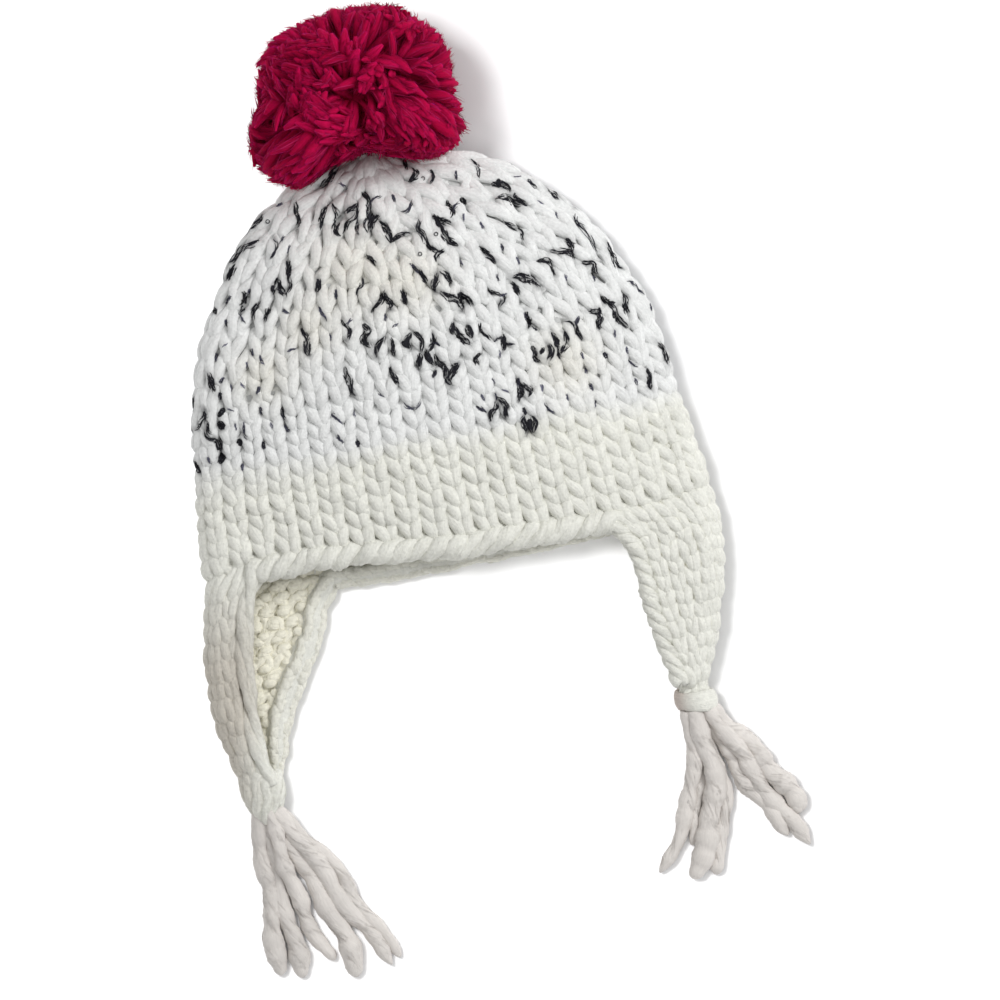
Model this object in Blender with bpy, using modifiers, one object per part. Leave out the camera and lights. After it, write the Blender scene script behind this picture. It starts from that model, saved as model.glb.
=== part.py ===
"""Earflap hat with a pompom, knitted in thick yarn and lying flat on its back panel.

Metres, +Z up. +Y runs from the rim to the pompom and +X to the right, with the front of the hat facing up.
The origin is on the floor, under the middle of the back panel. The knitted tube is described by its folded
edge (its outline from above) and by sections across it: each one is a flattened loop with a round fold at
each side, flat underneath and crowned on top. Tables hold their lengths as shares of the named sizes.
"""

import math
from collections import namedtuple

import bmesh
import bpy
import numpy as np
from mathutils import Matrix, Vector

# Driving sizes of the knitted tube
HALF_WIDTH = 0.1125            # half the width of the hat laid flat, at its middle
APEX_Y = 0.150                 # from the origin up to the gathered top
RIM_DROP = 0.027               # from the origin down to the front rim
BAND_HEIGHT = 0.043            # plain band, from the rim to the change of colour
LOFT = 0.046                   # height of the crown where it is fullest
KNIT_WALL = 0.008              # thickness of the knitted wall

# Driving sizes of the flaps and their edging
FLAP_LENGTH_LEFT = 0.094
FLAP_LENGTH_RIGHT = 0.0835
FLAP_WALL = 0.0068
EDGING_DIAMETER = 0.0104       # twisted edging along the rims
FLAP_EDGING_DIAMETER = 0.0076  # its narrower run along a flap
ROLL_DIAMETER = 0.0100         # rolled edge of the opened left flap

# Driving sizes of the knots, the tassels and the pompom
KNOT_LEFT_WIDTH = 0.0180
KNOT_LEFT_LENGTH = 0.0115
KNOT_RIGHT_WIDTH = 0.0165
KNOT_RIGHT_LENGTH = 0.0140
TASSEL_LENGTH_LEFT = 0.080
TASSEL_LENGTH_RIGHT = 0.074
STRAND_DIAMETER = 0.0088
POMPOM_WIDTH = 0.100
POMPOM_DEPTH = 0.076           # along the hat's length
POMPOM_HEIGHT = 0.084
LOCK_DIAMETER = 0.030
POMPOM_SHIFT = -0.0095         # the pompom leans to the left of the hat's middle
POMPOM_SEAT = 0.013            # how far the gathered top reaches into the pompom

GAP = 0.0003                   # clearance between pieces that touch
SEAM_GAP = 0.0011              # clearance on the outer face between two rows of wall, whose edges lean
EDGING_END_TRIM = 0.0012       # the edging stops this far short, as it meets the knots at a slant
CROWN_CLEARANCE = 0.0005       # room that the pompom leaves around the crown
TASSEL_ROOT = 0.005            # how deep the strands start in a tassel's head
COLUMNS = 44                   # facets around the tube
BAND_ROWS = 4
CROWN_ROWS = (0.10, 0.20, 0.30, 0.40, 0.50, 0.60, 0.70, 0.79, 0.86, 0.915, 0.955, 0.982)
CUTTER_FIRST_ROW = 5
FOLD_CROWDING = 0.45           # how much closer the facets lie at the folds
STRAIGHT_SHARE = 0.40          # rows run straight across below this share of the length
ROW_BOW = 2.2                  # how late a row turns up towards the fold
NEAR_RIM_SHARE = 0.03          # a row just above the rim, to find the wall's slope there
RIM_FADE_SHARE = 0.33          # below this share of a flap its rows no longer follow the rim
FLAP_LEVEL_SHARE = 0.50        # below this share of a flap its top is level
SECTION_SAMPLES = 48
SLOPE_ROUNDS = 6
TINY = 0.00001
KNOT_SIDES = 14
HEAD_SIDES = 12
HEAD_ROOTS = 2.4               # a tassel head's length over TASSEL_ROOT
STRAND_SPAN_STEPS = 4
ROOT_RISE = 0.6                # how far the strands start above their rise, in strand diameters
GOLDEN_ANGLE = math.pi * (3 - math.sqrt(5))
LOCK_COUNT = 34
LOCK_SHOW = 0.42               # how far the locks stand out of the core, over their diameter
LOCK_LENGTH = 1.25             # a lock's length over its width
LOCK_VARIETY = 0.14            # how much the locks differ in size
POMPOM_SQUARENESS = 2.7
FLOOR_LIFT = 0.0012

# Folded edge of the tube: height as a share of APEX_Y, half-widths as shares of HALF_WIDTH
Edge = namedtuple("Edge", "height left right")
BODY_EDGE = [
    Edge(-0.160, 1.018, 1.024),
    Edge(0.000, 1.000, 1.000),
    Edge(0.133, 0.975, 0.972),
    Edge(0.267, 0.953, 0.955),
    Edge(0.400, 0.918, 0.928),
    Edge(0.533, 0.850, 0.856),
    Edge(0.667, 0.752, 0.762),
    Edge(0.733, 0.694, 0.692),
    Edge(0.800, 0.618, 0.610),
    Edge(0.867, 0.520, 0.500),
    Edge(0.933, 0.392, 0.350),
    Edge(0.975, 0.262, 0.195),
    Edge(1.000, 0.044, -0.044),
]

# Sections of the tube from rim to apex: top, fold radius and underside as shares of LOFT
Section = namedtuple("Section", "along top fold under")
BODY_SECTIONS = [
    Section(0.00, 0.70, 0.250, 0.00),
    Section(0.15, 0.82, 0.260, 0.00),
    Section(0.30, 0.93, 0.280, 0.00),
    Section(0.50, 1.00, 0.300, 0.00),
    Section(0.70, 0.98, 0.310, 0.00),
    Section(0.82, 0.92, 0.315, 0.00),
    Section(0.90, 0.84, 0.310, 0.00),
    Section(0.95, 0.74, 0.280, 0.03),
    Section(0.985, 0.60, 0.130, 0.14),
    Section(1.00, 0.37, 0.000, 0.37),
]

# Lower edge of the tube's wall: across as a share of the half-width, drops as shares of RIM_DROP
Rim = namedtuple("Rim", "across front back")
RIM_LINE = [
    Rim(-1.00, 0.89, 0.89),
    Rim(-0.78, 0.73, 1.00),
    Rim(-0.45, 0.76, 1.10),
    Rim(-0.22, 0.88, 1.13),
    Rim(0.00, 1.00, 1.13),
    Rim(0.45, 1.04, 1.10),
    Rim(0.65, 1.05, 1.04),
    Rim(0.85, 1.00, 0.95),
    Rim(1.00, 0.89, 0.89),
]

# Flaps, from the rim down: drop as a share of the flap's length, fold and wall edges as shares of
# HALF_WIDTH, fold radius as a share of LOFT
Flap = namedtuple("Flap", "drop fold front back radius")
FLAP_LEFT = [
    Flap(0.00, 1.018, 0.782, 0.551, 0.250),
    Flap(0.08, 1.031, 0.862, 0.587, 0.245),
    Flap(0.17, 1.049, 0.900, 0.636, 0.240),
    Flap(0.28, 1.062, 0.926, 0.662, 0.236),
    Flap(0.38, 1.076, 0.940, 0.707, 0.232),
    Flap(0.54, 1.089, 0.953, 0.796, 0.226),
    Flap(0.70, 1.078, 0.962, 0.866, 0.218),
    Flap(0.84, 1.052, 0.958, 0.896, 0.208),
    Flap(1.00, 1.020, 0.945, 0.920, 0.198),
]
FLAP_RIGHT = [
    Flap(0.00, 1.024, 0.604, 0.750, 0.250),
    Flap(0.09, 1.033, 0.660, 0.762, 0.248),
    Flap(0.19, 1.037, 0.700, 0.772, 0.246),
    Flap(0.31, 1.032, 0.718, 0.780, 0.243),
    Flap(0.43, 1.020, 0.726, 0.782, 0.240),
    Flap(0.61, 0.988, 0.734, 0.786, 0.234),
    Flap(0.79, 0.944, 0.756, 0.794, 0.224),
    Flap(0.91, 0.904, 0.772, 0.800, 0.214),
    Flap(1.00, 0.876, 0.784, 0.806, 0.204),
]

# Tassel strands: places across at no, a third, two thirds and all of the strand's drop, and that drop,
# as shares of the tassel's length; thickness as a share of STRAND_DIAMETER; rise in strand diameters
Strand = namedtuple("Strand", "root upper lower tip drop thick rise")
STRANDS_LEFT = [
    Strand(-0.070, -0.072, -0.090, -0.100, 0.910, 1.05, 0.50),
    Strand(-0.015, -0.016, 0.004, 0.014, 0.945, 0.98, 0.50),
    Strand(0.012, 0.050, 0.085, 0.210, 0.880, 0.92, 0.90),
    Strand(0.040, 0.135, 0.275, 0.310, 1.000, 1.05, 0.50),
    Strand(0.062, 0.210, 0.375, 0.515, 0.970, 1.05, 0.70),
    Strand(0.080, 0.272, 0.425, 0.570, 0.930, 0.78, 0.50),
]
STRANDS_RIGHT = [
    Strand(-0.085, -0.095, -0.190, -0.410, 0.920, 0.95, 0.70),
    Strand(-0.030, 0.012, -0.050, -0.215, 1.000, 1.15, 0.90),
    Strand(0.005, 0.055, 0.025, -0.085, 0.990, 0.78, 0.45),
    Strand(-0.060, -0.055, -0.105, -0.190, 0.790, 0.70, 0.40),
    Strand(0.045, 0.130, 0.265, 0.390, 0.845, 0.92, 0.50),
    Strand(0.070, 0.205, 0.360, 0.505, 0.925, 1.00, 0.80),
    Strand(0.090, 0.250, 0.410, 0.500, 0.720, 1.10, 0.50),
]

# Knots, tassel heads and strands in profile: along as a share of the length, radius as a share of the
# width, and a strand's thickness as a share of its own
Profile = namedtuple("Profile", "along radius")
KNOT_LUMPS_LEFT = [
    Profile(0.00, 0.44),
    Profile(0.25, 0.50),
    Profile(0.60, 0.48),
    Profile(1.00, 0.38),
]
KNOT_LUMPS_RIGHT = [
    Profile(0.00, 0.40),
    Profile(0.12, 0.48),
    Profile(0.34, 0.50),
    Profile(0.48, 0.44),
    Profile(0.62, 0.50),
    Profile(0.86, 0.49),
    Profile(1.00, 0.40),
]
TASSEL_HEAD = [
    Profile(0.00, 0.36),
    Profile(0.50, 0.40),
    Profile(0.85, 0.28),
]
STRAND_SWELL = [
    Profile(0.00, 0.80),
    Profile(0.25, 1.00),
    Profile(0.55, 0.92),
    Profile(0.85, 1.02),
    Profile(0.96, 0.80),
    Profile(1.00, 0.45),
]

# Base colours, roughness
WHITE_WOOL = ((0.80, 0.82, 0.83), 0.9)
IVORY_WOOL = ((0.80, 0.76, 0.66), 0.9)
TASSEL_WOOL = ((0.76, 0.74, 0.72), 0.9)
CRIMSON_WOOL = ((0.36, 0.004, 0.045), 0.85)


def clear_scene():
    """Remove every object that the file opened with."""
    for item in list(bpy.data.objects):
        bpy.data.objects.remove(item, do_unlink=True)


def make_collection(name):
    """Return a new collection linked to the scene."""
    group = bpy.data.collections.new(name)
    bpy.context.scene.collection.children.link(group)
    return group


def make_material(name, wool):
    """Return a Principled material of one wool."""
    colour, roughness = wool
    material = bpy.data.materials.new(name)
    material.use_nodes = True
    shader = material.node_tree.nodes["Principled BSDF"]
    shader.inputs["Base Color"].default_value = (*colour, 1.0)
    shader.inputs["Roughness"].default_value = roughness
    shader.inputs["Metallic"].default_value = 0.0
    return material


def place(item, group, wool=None):
    """Link an object to a collection, shade it smooth and give it a material if it has a wool."""
    for holder in list(item.users_collection):
        holder.objects.unlink(item)
    group.objects.link(item)
    if wool is not None:
        item.data.materials.clear()
        item.data.materials.append(make_material(item.name + "_wool", wool))
    if item.type == "MESH":
        item.data.shade_smooth()
    return item


def hide_guide(item):
    """Mark an object as a guide that isn't part of the hat."""
    item.hide_render = True
    item.display_type = "WIRE"
    return item


def lerp(a, b, share):
    """Return the value a share of the way from a to b."""
    return a + (b - a) * share


def column(table, name):
    """Return one named column of a table as an array."""
    return np.array([getattr(row, name) for row in table])


def read(table, key, name, at):
    """Read a named column of a table between its rows."""
    return np.interp(at, column(table, key), column(table, name))


def rounded(points, per_span=8):
    """Return a smooth line through the points, by Catmull-Rom."""
    points = [np.asarray(p, dtype=float) for p in points]
    padded = [2 * points[0] - points[1]] + points + [2 * points[-1] - points[-2]]
    line = []
    for i in range(1, len(padded) - 2):
        p0, p1, p2, p3 = padded[i - 1:i + 3]
        for step in range(per_span):
            t = step / per_span
            line.append(0.5 * (2 * p1 + (p2 - p0) * t + (2 * p0 - 5 * p1 + 4 * p2 - p3) * t ** 2
                               + (3 * p1 - p0 - 3 * p2 + p3) * t ** 3))
    line.append(points[-1])
    return np.array(line)


def lengths_along(line):
    """Return the distance from the start of a line to each of its points."""
    steps = np.linalg.norm(np.diff(line, axis=0), axis=1)
    return np.concatenate([[0.0], np.cumsum(steps)])


def point_at(line, distance):
    """Return the points of a line at some distances from its start."""
    along = lengths_along(line)
    return np.stack([np.interp(distance, along, line[:, k]) for k in range(line.shape[1])], axis=-1)


# The tube's folded edge and its rows

def edge_line(side):
    """Return the folded edge from rim to apex as points in plan; side is -1 for left, 1 for right."""
    name = "left" if side < 0 else "right"
    points = [(side * getattr(row, name) * HALF_WIDTH, row.height * APEX_Y) for row in BODY_EDGE]
    return rounded(points)


EDGE_LINES = {side: edge_line(side) for side in (-1, 1)}


def row_height(share):
    """Return the height in plan of a row at the middle of the front."""
    return lerp(-RIM_DROP, APEX_Y, share)


def fold_point(side, share):
    """Return where a row meets the folded edge."""
    line = EDGE_LINES[side]
    along = lengths_along(line)
    start = np.interp(row_height(STRAIGHT_SHARE), line[:, 1], along)
    if share <= STRAIGHT_SHARE:
        height = lerp(line[0, 1], row_height(STRAIGHT_SHARE), share / STRAIGHT_SHARE)
        return point_at(line, np.interp(height, line[:, 1], along))
    rest = (share - STRAIGHT_SHARE) / (1 - STRAIGHT_SHARE)
    return point_at(line, lerp(start, along[-1], rest))


def half_section(width, top, fold):
    """Return half a section from the top's middle to the underside's middle, as across and height.

    The fold is an arc of radius fold. The crowned top is a parabola that meets the arc at one slope.
    """
    fold = min(fold, width * 0.999)
    slope = 0.0
    for _ in range(SLOPE_ROUNDS):
        reach = width - fold + fold * math.sin(slope)
        rise = fold + fold * math.cos(slope)
        slope = math.atan(2 * (top - rise) / reach)
    x_top = np.linspace(0, reach, SECTION_SAMPLES)
    crowned = np.stack([x_top, top - (top - rise) * (x_top / reach) ** 2], axis=1)
    angles = np.linspace(math.pi / 2 - slope, -math.pi / 2, SECTION_SAMPLES)[1:]
    arc = np.stack([width - fold + fold * np.cos(angles), fold + fold * np.sin(angles)], axis=1)
    flat_x = np.linspace(width - fold, 0, SECTION_SAMPLES // 2)[1:]
    flat = np.stack([flat_x, np.zeros_like(flat_x)], axis=1)
    return np.concatenate([crowned, arc, flat])


def rim_drop(side, across, is_front):
    """Return how far the rim lies below the origin, across the front or the back."""
    front = read(RIM_LINE, "across", "front", side * across)
    back = read(RIM_LINE, "across", "back", side * across)
    return np.where(is_front, front, back) * RIM_DROP


def body_loop(share):
    """Return one row of the tube as a closed line, from the front's middle to the right and round."""
    ends = {side: fold_point(side, share) for side in (-1, 1)}
    middle = (ends[-1][0] + ends[1][0]) / 2
    width = max((ends[1][0] - ends[-1][0]) / 2, TINY)
    top = read(BODY_SECTIONS, "along", "top", share) * LOFT
    fold = read(BODY_SECTIONS, "along", "fold", share) * LOFT
    under = read(BODY_SECTIONS, "along", "under", share) * LOFT
    half = half_section(width, max(top - under, TINY), max(fold, TINY))
    front_count = int(np.argmax(half[:, 0])) + 1
    lines = []
    for side in (1, -1):
        across = half[:, 0] / width
        is_front = np.arange(len(half)) < front_count
        bow = across ** ROW_BOW
        plain = lerp(row_height(share), ends[side][1], bow)
        rim = -rim_drop(side, across, is_front) - lerp(-RIM_DROP, fold_point(side, 0.0)[1], bow)
        y = plain + rim * max(0.0, 1 - share / STRAIGHT_SHARE)
        lines.append(np.stack([middle + side * half[:, 0], y, half[:, 1] + under], axis=1))
    return np.concatenate([lines[0], lines[1][::-1][1:]])


def ring_shares():
    """Return where a row's points lie round the tube, closer together at the two folds."""
    even = np.arange(COLUMNS) / COLUMNS
    return even + FOLD_CROWDING * np.sin(4 * math.pi * even) / (4 * math.pi)


def body_ring(share):
    """Return one row of the tube as points round its outer face."""
    loop = body_loop(share)
    return point_at(loop, ring_shares() * lengths_along(loop)[-1])


# The flaps' rows

def flap_table(side):
    """Return a flap's table and its length."""
    return (FLAP_LEFT, FLAP_LENGTH_LEFT) if side < 0 else (FLAP_RIGHT, FLAP_LENGTH_RIGHT)


def flap_section(side, drop):
    """Return half a section at a flap's height, and where the flap's wall starts and ends along it."""
    table, _ = flap_table(side)
    names = ("fold", "front", "back")
    fold_x, front_x, back_x = (read(table, "drop", name, drop) * HALF_WIDTH for name in names)
    radius = read(table, "drop", "radius", drop) * LOFT
    top = lerp(BODY_SECTIONS[0].top * LOFT, 2 * radius, min(1.0, drop / FLAP_LEVEL_SHARE))
    half = half_section(fold_x, top, radius)
    turn = int(np.argmax(half[:, 0]))
    along = lengths_along(half)
    start = np.interp(front_x, half[:turn + 1, 0], along[:turn + 1])
    end = np.interp(-back_x, -half[turn:, 0], along[turn:])
    return half, start, end


def flap_row(side, drop, shares):
    """Return one row of a flap on its outer face, from its front wall edge round the fold to the back."""
    table, length = flap_table(side)
    half, start, end = flap_section(side, drop)
    along = lerp(start, end, shares)
    spots = point_at(half, along)
    is_front = along < lengths_along(half)[int(np.argmax(half[:, 0]))]
    fold_drop = RIM_LINE[0].front * RIM_DROP
    settle = max(0.0, 1 - drop / RIM_FADE_SHARE)
    rim = rim_drop(side, spots[:, 0] / (HALF_WIDTH * table[0].fold), is_front)
    y = -fold_drop - drop * length - SEAM_GAP + (fold_drop - rim) * settle
    return np.stack([side * spots[:, 0], y, spots[:, 1]], axis=1)


def flap_columns(side):
    """Return the columns of the tube's lowest row that a flap hangs from, front edge first."""
    _, start, end = flap_section(side, 0.0)
    shares = ring_shares() if side > 0 else (1 - ring_shares()) % 1.0
    from_front = shares * lengths_along(body_loop(0.0))[-1]
    order = np.argsort(from_front)
    slack = from_front[order[1]] / 4
    return [i for i in order if start - slack <= from_front[i] <= end + slack]


def flap_grid(side):
    """Return a flap's rows: the first one lies along the rim, just below it."""
    table, _ = flap_table(side)
    top_row = body_ring(0.0)[flap_columns(side)] + np.array([0.0, -SEAM_GAP, 0.0])
    along = lengths_along(top_row)
    shares = along / along[-1]
    return [top_row] + [flap_row(side, row.drop, shares) for row in table[1:]]


# Solids

def mesh_object(name, vertices, faces, edges=()):
    """Return an object with a mesh of its own."""
    mesh = bpy.data.meshes.new(name)
    mesh.from_pydata([tuple(v) for v in vertices], edges, faces)
    item = bpy.data.objects.new(name, mesh)
    bpy.context.scene.collection.objects.link(item)
    return item


def grid_faces(rows, columns, closed, flipped=False):
    """Return the quads of a grid of points."""
    faces = []
    for r in range(rows - 1):
        for c in range(columns if closed else columns - 1):
            d = (c + 1) % columns
            quad = (r * columns + c, r * columns + d, (r + 1) * columns + d, (r + 1) * columns + c)
            faces.append(quad[::-1] if flipped else quad)
    return faces


def loft(name, rows, closed, flipped=False, pole=None, capped=False):
    """Return an open surface through rows of points, with a pole or a cap where asked."""
    columns = len(rows[0])
    vertices = [p for row in rows for p in row]
    faces = grid_faces(len(rows), columns, closed, flipped)
    if pole is not None:
        last = (len(rows) - 1) * columns
        faces += [(last + c, last + (c + 1) % columns, len(vertices)) for c in range(columns)]
        vertices.append(pole)
    if capped:
        faces.append(tuple(range(columns))[::-1])
    return mesh_object(name, vertices, faces)


def thicken(item, wall):
    """Give an outer surface a wall that grows inwards."""
    shell = item.modifiers.new("wall", "SOLIDIFY")
    shell.thickness = wall
    shell.offset = -1.0
    shell.use_even_offset = True
    shell.use_rim = True
    return item


def combine(item, name, operation, other):
    """Join an object with, or cut it by, another object or a collection of them."""
    step = item.modifiers.new(name, "BOOLEAN")
    step.operation = operation
    step.solver = "EXACT"
    if isinstance(other, bpy.types.Collection):
        step.operand_type = "COLLECTION"
        step.collection = other
    else:
        step.object = other


def crown_rows():
    """Return the crown's rows above the change of colour, and its gathered point."""
    start = BAND_HEIGHT / (APEX_Y + RIM_DROP)
    shares = [start + SEAM_GAP / (APEX_Y + RIM_DROP)] + [lerp(start, 1.0, s) for s in CROWN_ROWS]
    return [body_ring(s) for s in shares], body_loop(1.0)[0]


def make_crown(group):
    """Make the speckled upper part of the tube."""
    rows, pole = crown_rows()
    return place(thicken(loft("crown", rows, True, pole=pole), KNIT_WALL), group, WHITE_WOOL)


def make_band(group):
    """Make the plain lower part of the tube."""
    stop = BAND_HEIGHT / (APEX_Y + RIM_DROP)
    rows = [body_ring(lerp(0.0, stop, s)) for s in np.linspace(0, 1, BAND_ROWS)]
    return place(thicken(loft("band", rows, True), KNIT_WALL), group, IVORY_WOOL)


def make_flap(name, side, group):
    """Make one flap."""
    item = loft(name, flap_grid(side), False, flipped=side > 0)
    return place(thicken(item, FLAP_WALL), group, IVORY_WOOL)


def tube(name, points, radii):
    """Return a curve object with a round section and filled caps."""
    curve = bpy.data.curves.new(name, "CURVE")
    curve.dimensions = "3D"
    curve.bevel_depth = 1.0
    curve.bevel_resolution = 2
    curve.use_fill_caps = True
    spline = curve.splines.new("POLY")
    spline.points.add(len(points) - 1)
    for spot, point, radius in zip(spline.points, points, radii):
        spot.co = (*point, 1.0)
        spot.radius = radius
    item = bpy.data.objects.new(name, curve)
    bpy.context.scene.collection.objects.link(item)
    return item


def as_mesh(item):
    """Turn a curve object into a mesh object with welded caps."""
    bpy.context.view_layer.update()
    evaluated = item.evaluated_get(bpy.context.evaluated_depsgraph_get())
    mesh = bpy.data.meshes.new_from_object(evaluated)
    shape = bmesh.new()
    shape.from_mesh(mesh)
    bmesh.ops.remove_doubles(shape, verts=shape.verts, dist=TINY)
    shape.to_mesh(mesh)
    shape.free()
    name, matrix = item.name, item.matrix_world.copy()
    bpy.data.objects.remove(item, do_unlink=True)
    solid = bpy.data.objects.new(name, mesh)
    solid.matrix_world = matrix
    bpy.context.scene.collection.objects.link(solid)
    return solid


# The edging follows the walls' lower edges, from the left knot to the right one

def flap_edge(side, is_front):
    """Return a flap's edge below its first row, as points with the wall's outward directions."""
    grid = flap_grid(side)
    edge, inner = (0, 1) if is_front else (-1, -2)
    rows = []
    for above, row in zip(grid, grid[1:]):
        normal = np.cross(row[edge] - above[edge], row[inner] - row[edge])
        normal *= np.sign(normal[2]) * (1 if is_front else -1)
        rows.append((row[edge], normal / np.linalg.norm(normal)))
    return rows


def rim_edge(is_front):
    """Return the rim from the left flap to the right one, as points with the wall's outward directions."""
    ring, above = body_ring(0.0), body_ring(NEAR_RIM_SHARE)
    left, right = flap_columns(-1), flap_columns(1)
    if is_front:
        order = [i % COLUMNS for i in range(left[0] - COLUMNS, right[0] + 1)]
    else:
        order = range(left[-1], right[-1] - 1, -1)
    rows = []
    for i in order:
        normal = np.cross(ring[(i + 1) % COLUMNS] - ring[i - 1], above[i] - ring[i])
        rows.append((ring[i], normal / np.linalg.norm(normal)))
    return rows


def edging_line(is_front):
    """Return the edging's centre line and radii, beside the wall's edge by a gap."""
    left, rim, right = flap_edge(-1, is_front)[::-1], rim_edge(is_front), flap_edge(1, is_front)
    left_diameter = FLAP_EDGING_DIAMETER if is_front else ROLL_DIAMETER
    counts = (len(left), len(rim), len(right))
    radii = np.repeat([left_diameter / 2, EDGING_DIAMETER / 2, FLAP_EDGING_DIAMETER / 2], counts)
    wall = np.repeat([FLAP_WALL, KNIT_WALL, FLAP_WALL], counts)[:, None]
    points, normals = (np.array(part) for part in zip(*(left + rim + right)))
    middle = points - normals * wall / 2
    up = normals if is_front else -normals
    aside = np.cross(np.diff(middle, axis=0), (up[1:] + up[:-1]) / 2)
    aside /= np.linalg.norm(aside, axis=1)[:, None]
    before = np.concatenate([aside[:1], aside])
    after = np.concatenate([aside, aside[-1:]])
    mitre = (before + after) / (1 + np.sum(before * after, axis=1))[:, None]
    line = middle + mitre * (radii + GAP)[:, None]
    if not is_front:
        line[:, 2] = np.maximum(line[:, 2], radii)
    for end, inner in ((0, 1), (-1, -2)):
        run = line[inner] - line[end]
        line[end] += run / np.linalg.norm(run) * EDGING_END_TRIM
    return line, radii


def make_edging(name, is_front, group):
    """Make one run of edging."""
    line, radii = edging_line(is_front)
    return place(tube(name, line, radii), group, IVORY_WOOL)


# Knots and tassels

def turned(name, profile, steps):
    """Return a solid turned about Z from a profile of radius and height, top to bottom."""
    edges = [(i, i + 1) for i in range(len(profile) - 1)]
    item = mesh_object(name, [(r, 0.0, h) for r, h in profile], [], edges)
    screw = item.modifiers.new("turn", "SCREW")
    screw.steps = steps
    screw.render_steps = steps
    screw.use_merge_vertices = True
    screw.merge_threshold = TINY
    return item


def neck(side):
    """Return the middle of a flap's lower end in plan, and the height of that end."""
    table, length = flap_table(side)
    width = KNOT_LEFT_WIDTH if side < 0 else KNOT_RIGHT_WIDTH
    x = side * (table[-1].fold * HALF_WIDTH - width / 2)
    y = -RIM_LINE[0].front * RIM_DROP - length - SEAM_GAP
    return x, y


def make_knot(name, side, group):
    """Make the gathered tip of a flap: a barrel along the hat's length."""
    width, length, lumps = ((KNOT_LEFT_WIDTH, KNOT_LEFT_LENGTH, KNOT_LUMPS_LEFT) if side < 0 else
                            (KNOT_RIGHT_WIDTH, KNOT_RIGHT_LENGTH, KNOT_LUMPS_RIGHT))
    x, y = neck(side)
    profile = [(0.0, 0.0)]
    profile += [(lump.radius * width, -lump.along * length) for lump in lumps]
    profile += [(0.0, -length)]
    item = turned(name, profile, KNOT_SIDES)
    item.location = (x, y - GAP, width / 2)
    item.rotation_euler = (-math.pi / 2, 0.0, 0.0)
    return place(item, group, IVORY_WOOL)


def strand_line(strand, x, y, length):
    """Return a strand's centre line and radii."""
    radius = strand.thick * STRAND_DIAMETER / 2
    drop = strand.drop * length
    lift = strand.rise * STRAND_DIAMETER
    knots = [(x + strand.root * length, y - TASSEL_ROOT, lift + ROOT_RISE * STRAND_DIAMETER),
             (x + strand.upper * length, y - drop / 3, max(lift, radius)),
             (x + strand.lower * length, y - drop * 2 / 3, radius),
             (x + strand.tip * length, y - drop + radius, radius)]
    line = rounded(knots, STRAND_SPAN_STEPS)
    share = np.linspace(0, 1, len(line))
    swell = read(STRAND_SWELL, "along", "radius", share)
    radii = radius * swell
    line[:, 2] = np.maximum(line[:, 2], radii)
    return line, radii


def make_tassel(name, side, group, cutters):
    """Make a tassel: strands fused to the head that the knot holds."""
    strands, length = ((STRANDS_LEFT, TASSEL_LENGTH_LEFT) if side < 0 else
                       (STRANDS_RIGHT, TASSEL_LENGTH_RIGHT))
    width, knot_length = ((KNOT_LEFT_WIDTH, KNOT_LEFT_LENGTH) if side < 0 else
                          (KNOT_RIGHT_WIDTH, KNOT_RIGHT_LENGTH))
    x, y = neck(side)
    y = y - GAP - knot_length - GAP
    head_length = TASSEL_ROOT * HEAD_ROOTS
    profile = [(0.0, 0.0)] + [(row.radius * width, -row.along * head_length) for row in TASSEL_HEAD]
    profile.append((0.0, -head_length))
    head = turned(name, profile, HEAD_SIDES)
    head.location = (x, y, width * TASSEL_HEAD[0].radius + FLOOR_LIFT)
    head.rotation_euler = (-math.pi / 2, 0.0, 0.0)
    locks = bpy.data.collections.new(name + "_strands")
    cutters.children.link(locks)
    for i, strand in enumerate(strands):
        line, radii = strand_line(strand, x, y, length)
        solid = as_mesh(tube(f"{name}_strand_{i}", line, radii))
        hide_guide(place(solid, locks))
    combine(head, "strands", "UNION", locks)
    return place(head, group, TASSEL_WOOL)


# The pompom

def pompom_reach(direction):
    """Return how far the pompom's outside lies from its middle, for directions of unit length."""
    halves = np.array([POMPOM_WIDTH, POMPOM_DEPTH, POMPOM_HEIGHT]) / 2
    scaled = np.abs(direction) / halves
    return np.sum(scaled ** POMPOM_SQUARENESS, axis=-1) ** (-1 / POMPOM_SQUARENESS)


def lock_directions(count):
    """Return evenly spread directions, by the golden angle."""
    i = np.arange(count) + 0.5
    z = 1 - 2 * i / count
    turn = GOLDEN_ANGLE * i
    ring = np.sqrt(1 - z ** 2)
    return np.stack([ring * np.cos(turn), ring * np.sin(turn), z], axis=1)


def crown_cutter(cutters):
    """Return the crown's upper part as a closed solid, a gap larger all round."""
    rows, pole = crown_rows()
    item = loft("crown_room", rows[CUTTER_FIRST_ROW:], True, pole=pole, capped=True)
    swell = item.modifiers.new("clearance", "DISPLACE")
    swell.strength = CROWN_CLEARANCE
    swell.mid_level = 0.0
    return hide_guide(place(item, cutters))


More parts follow.
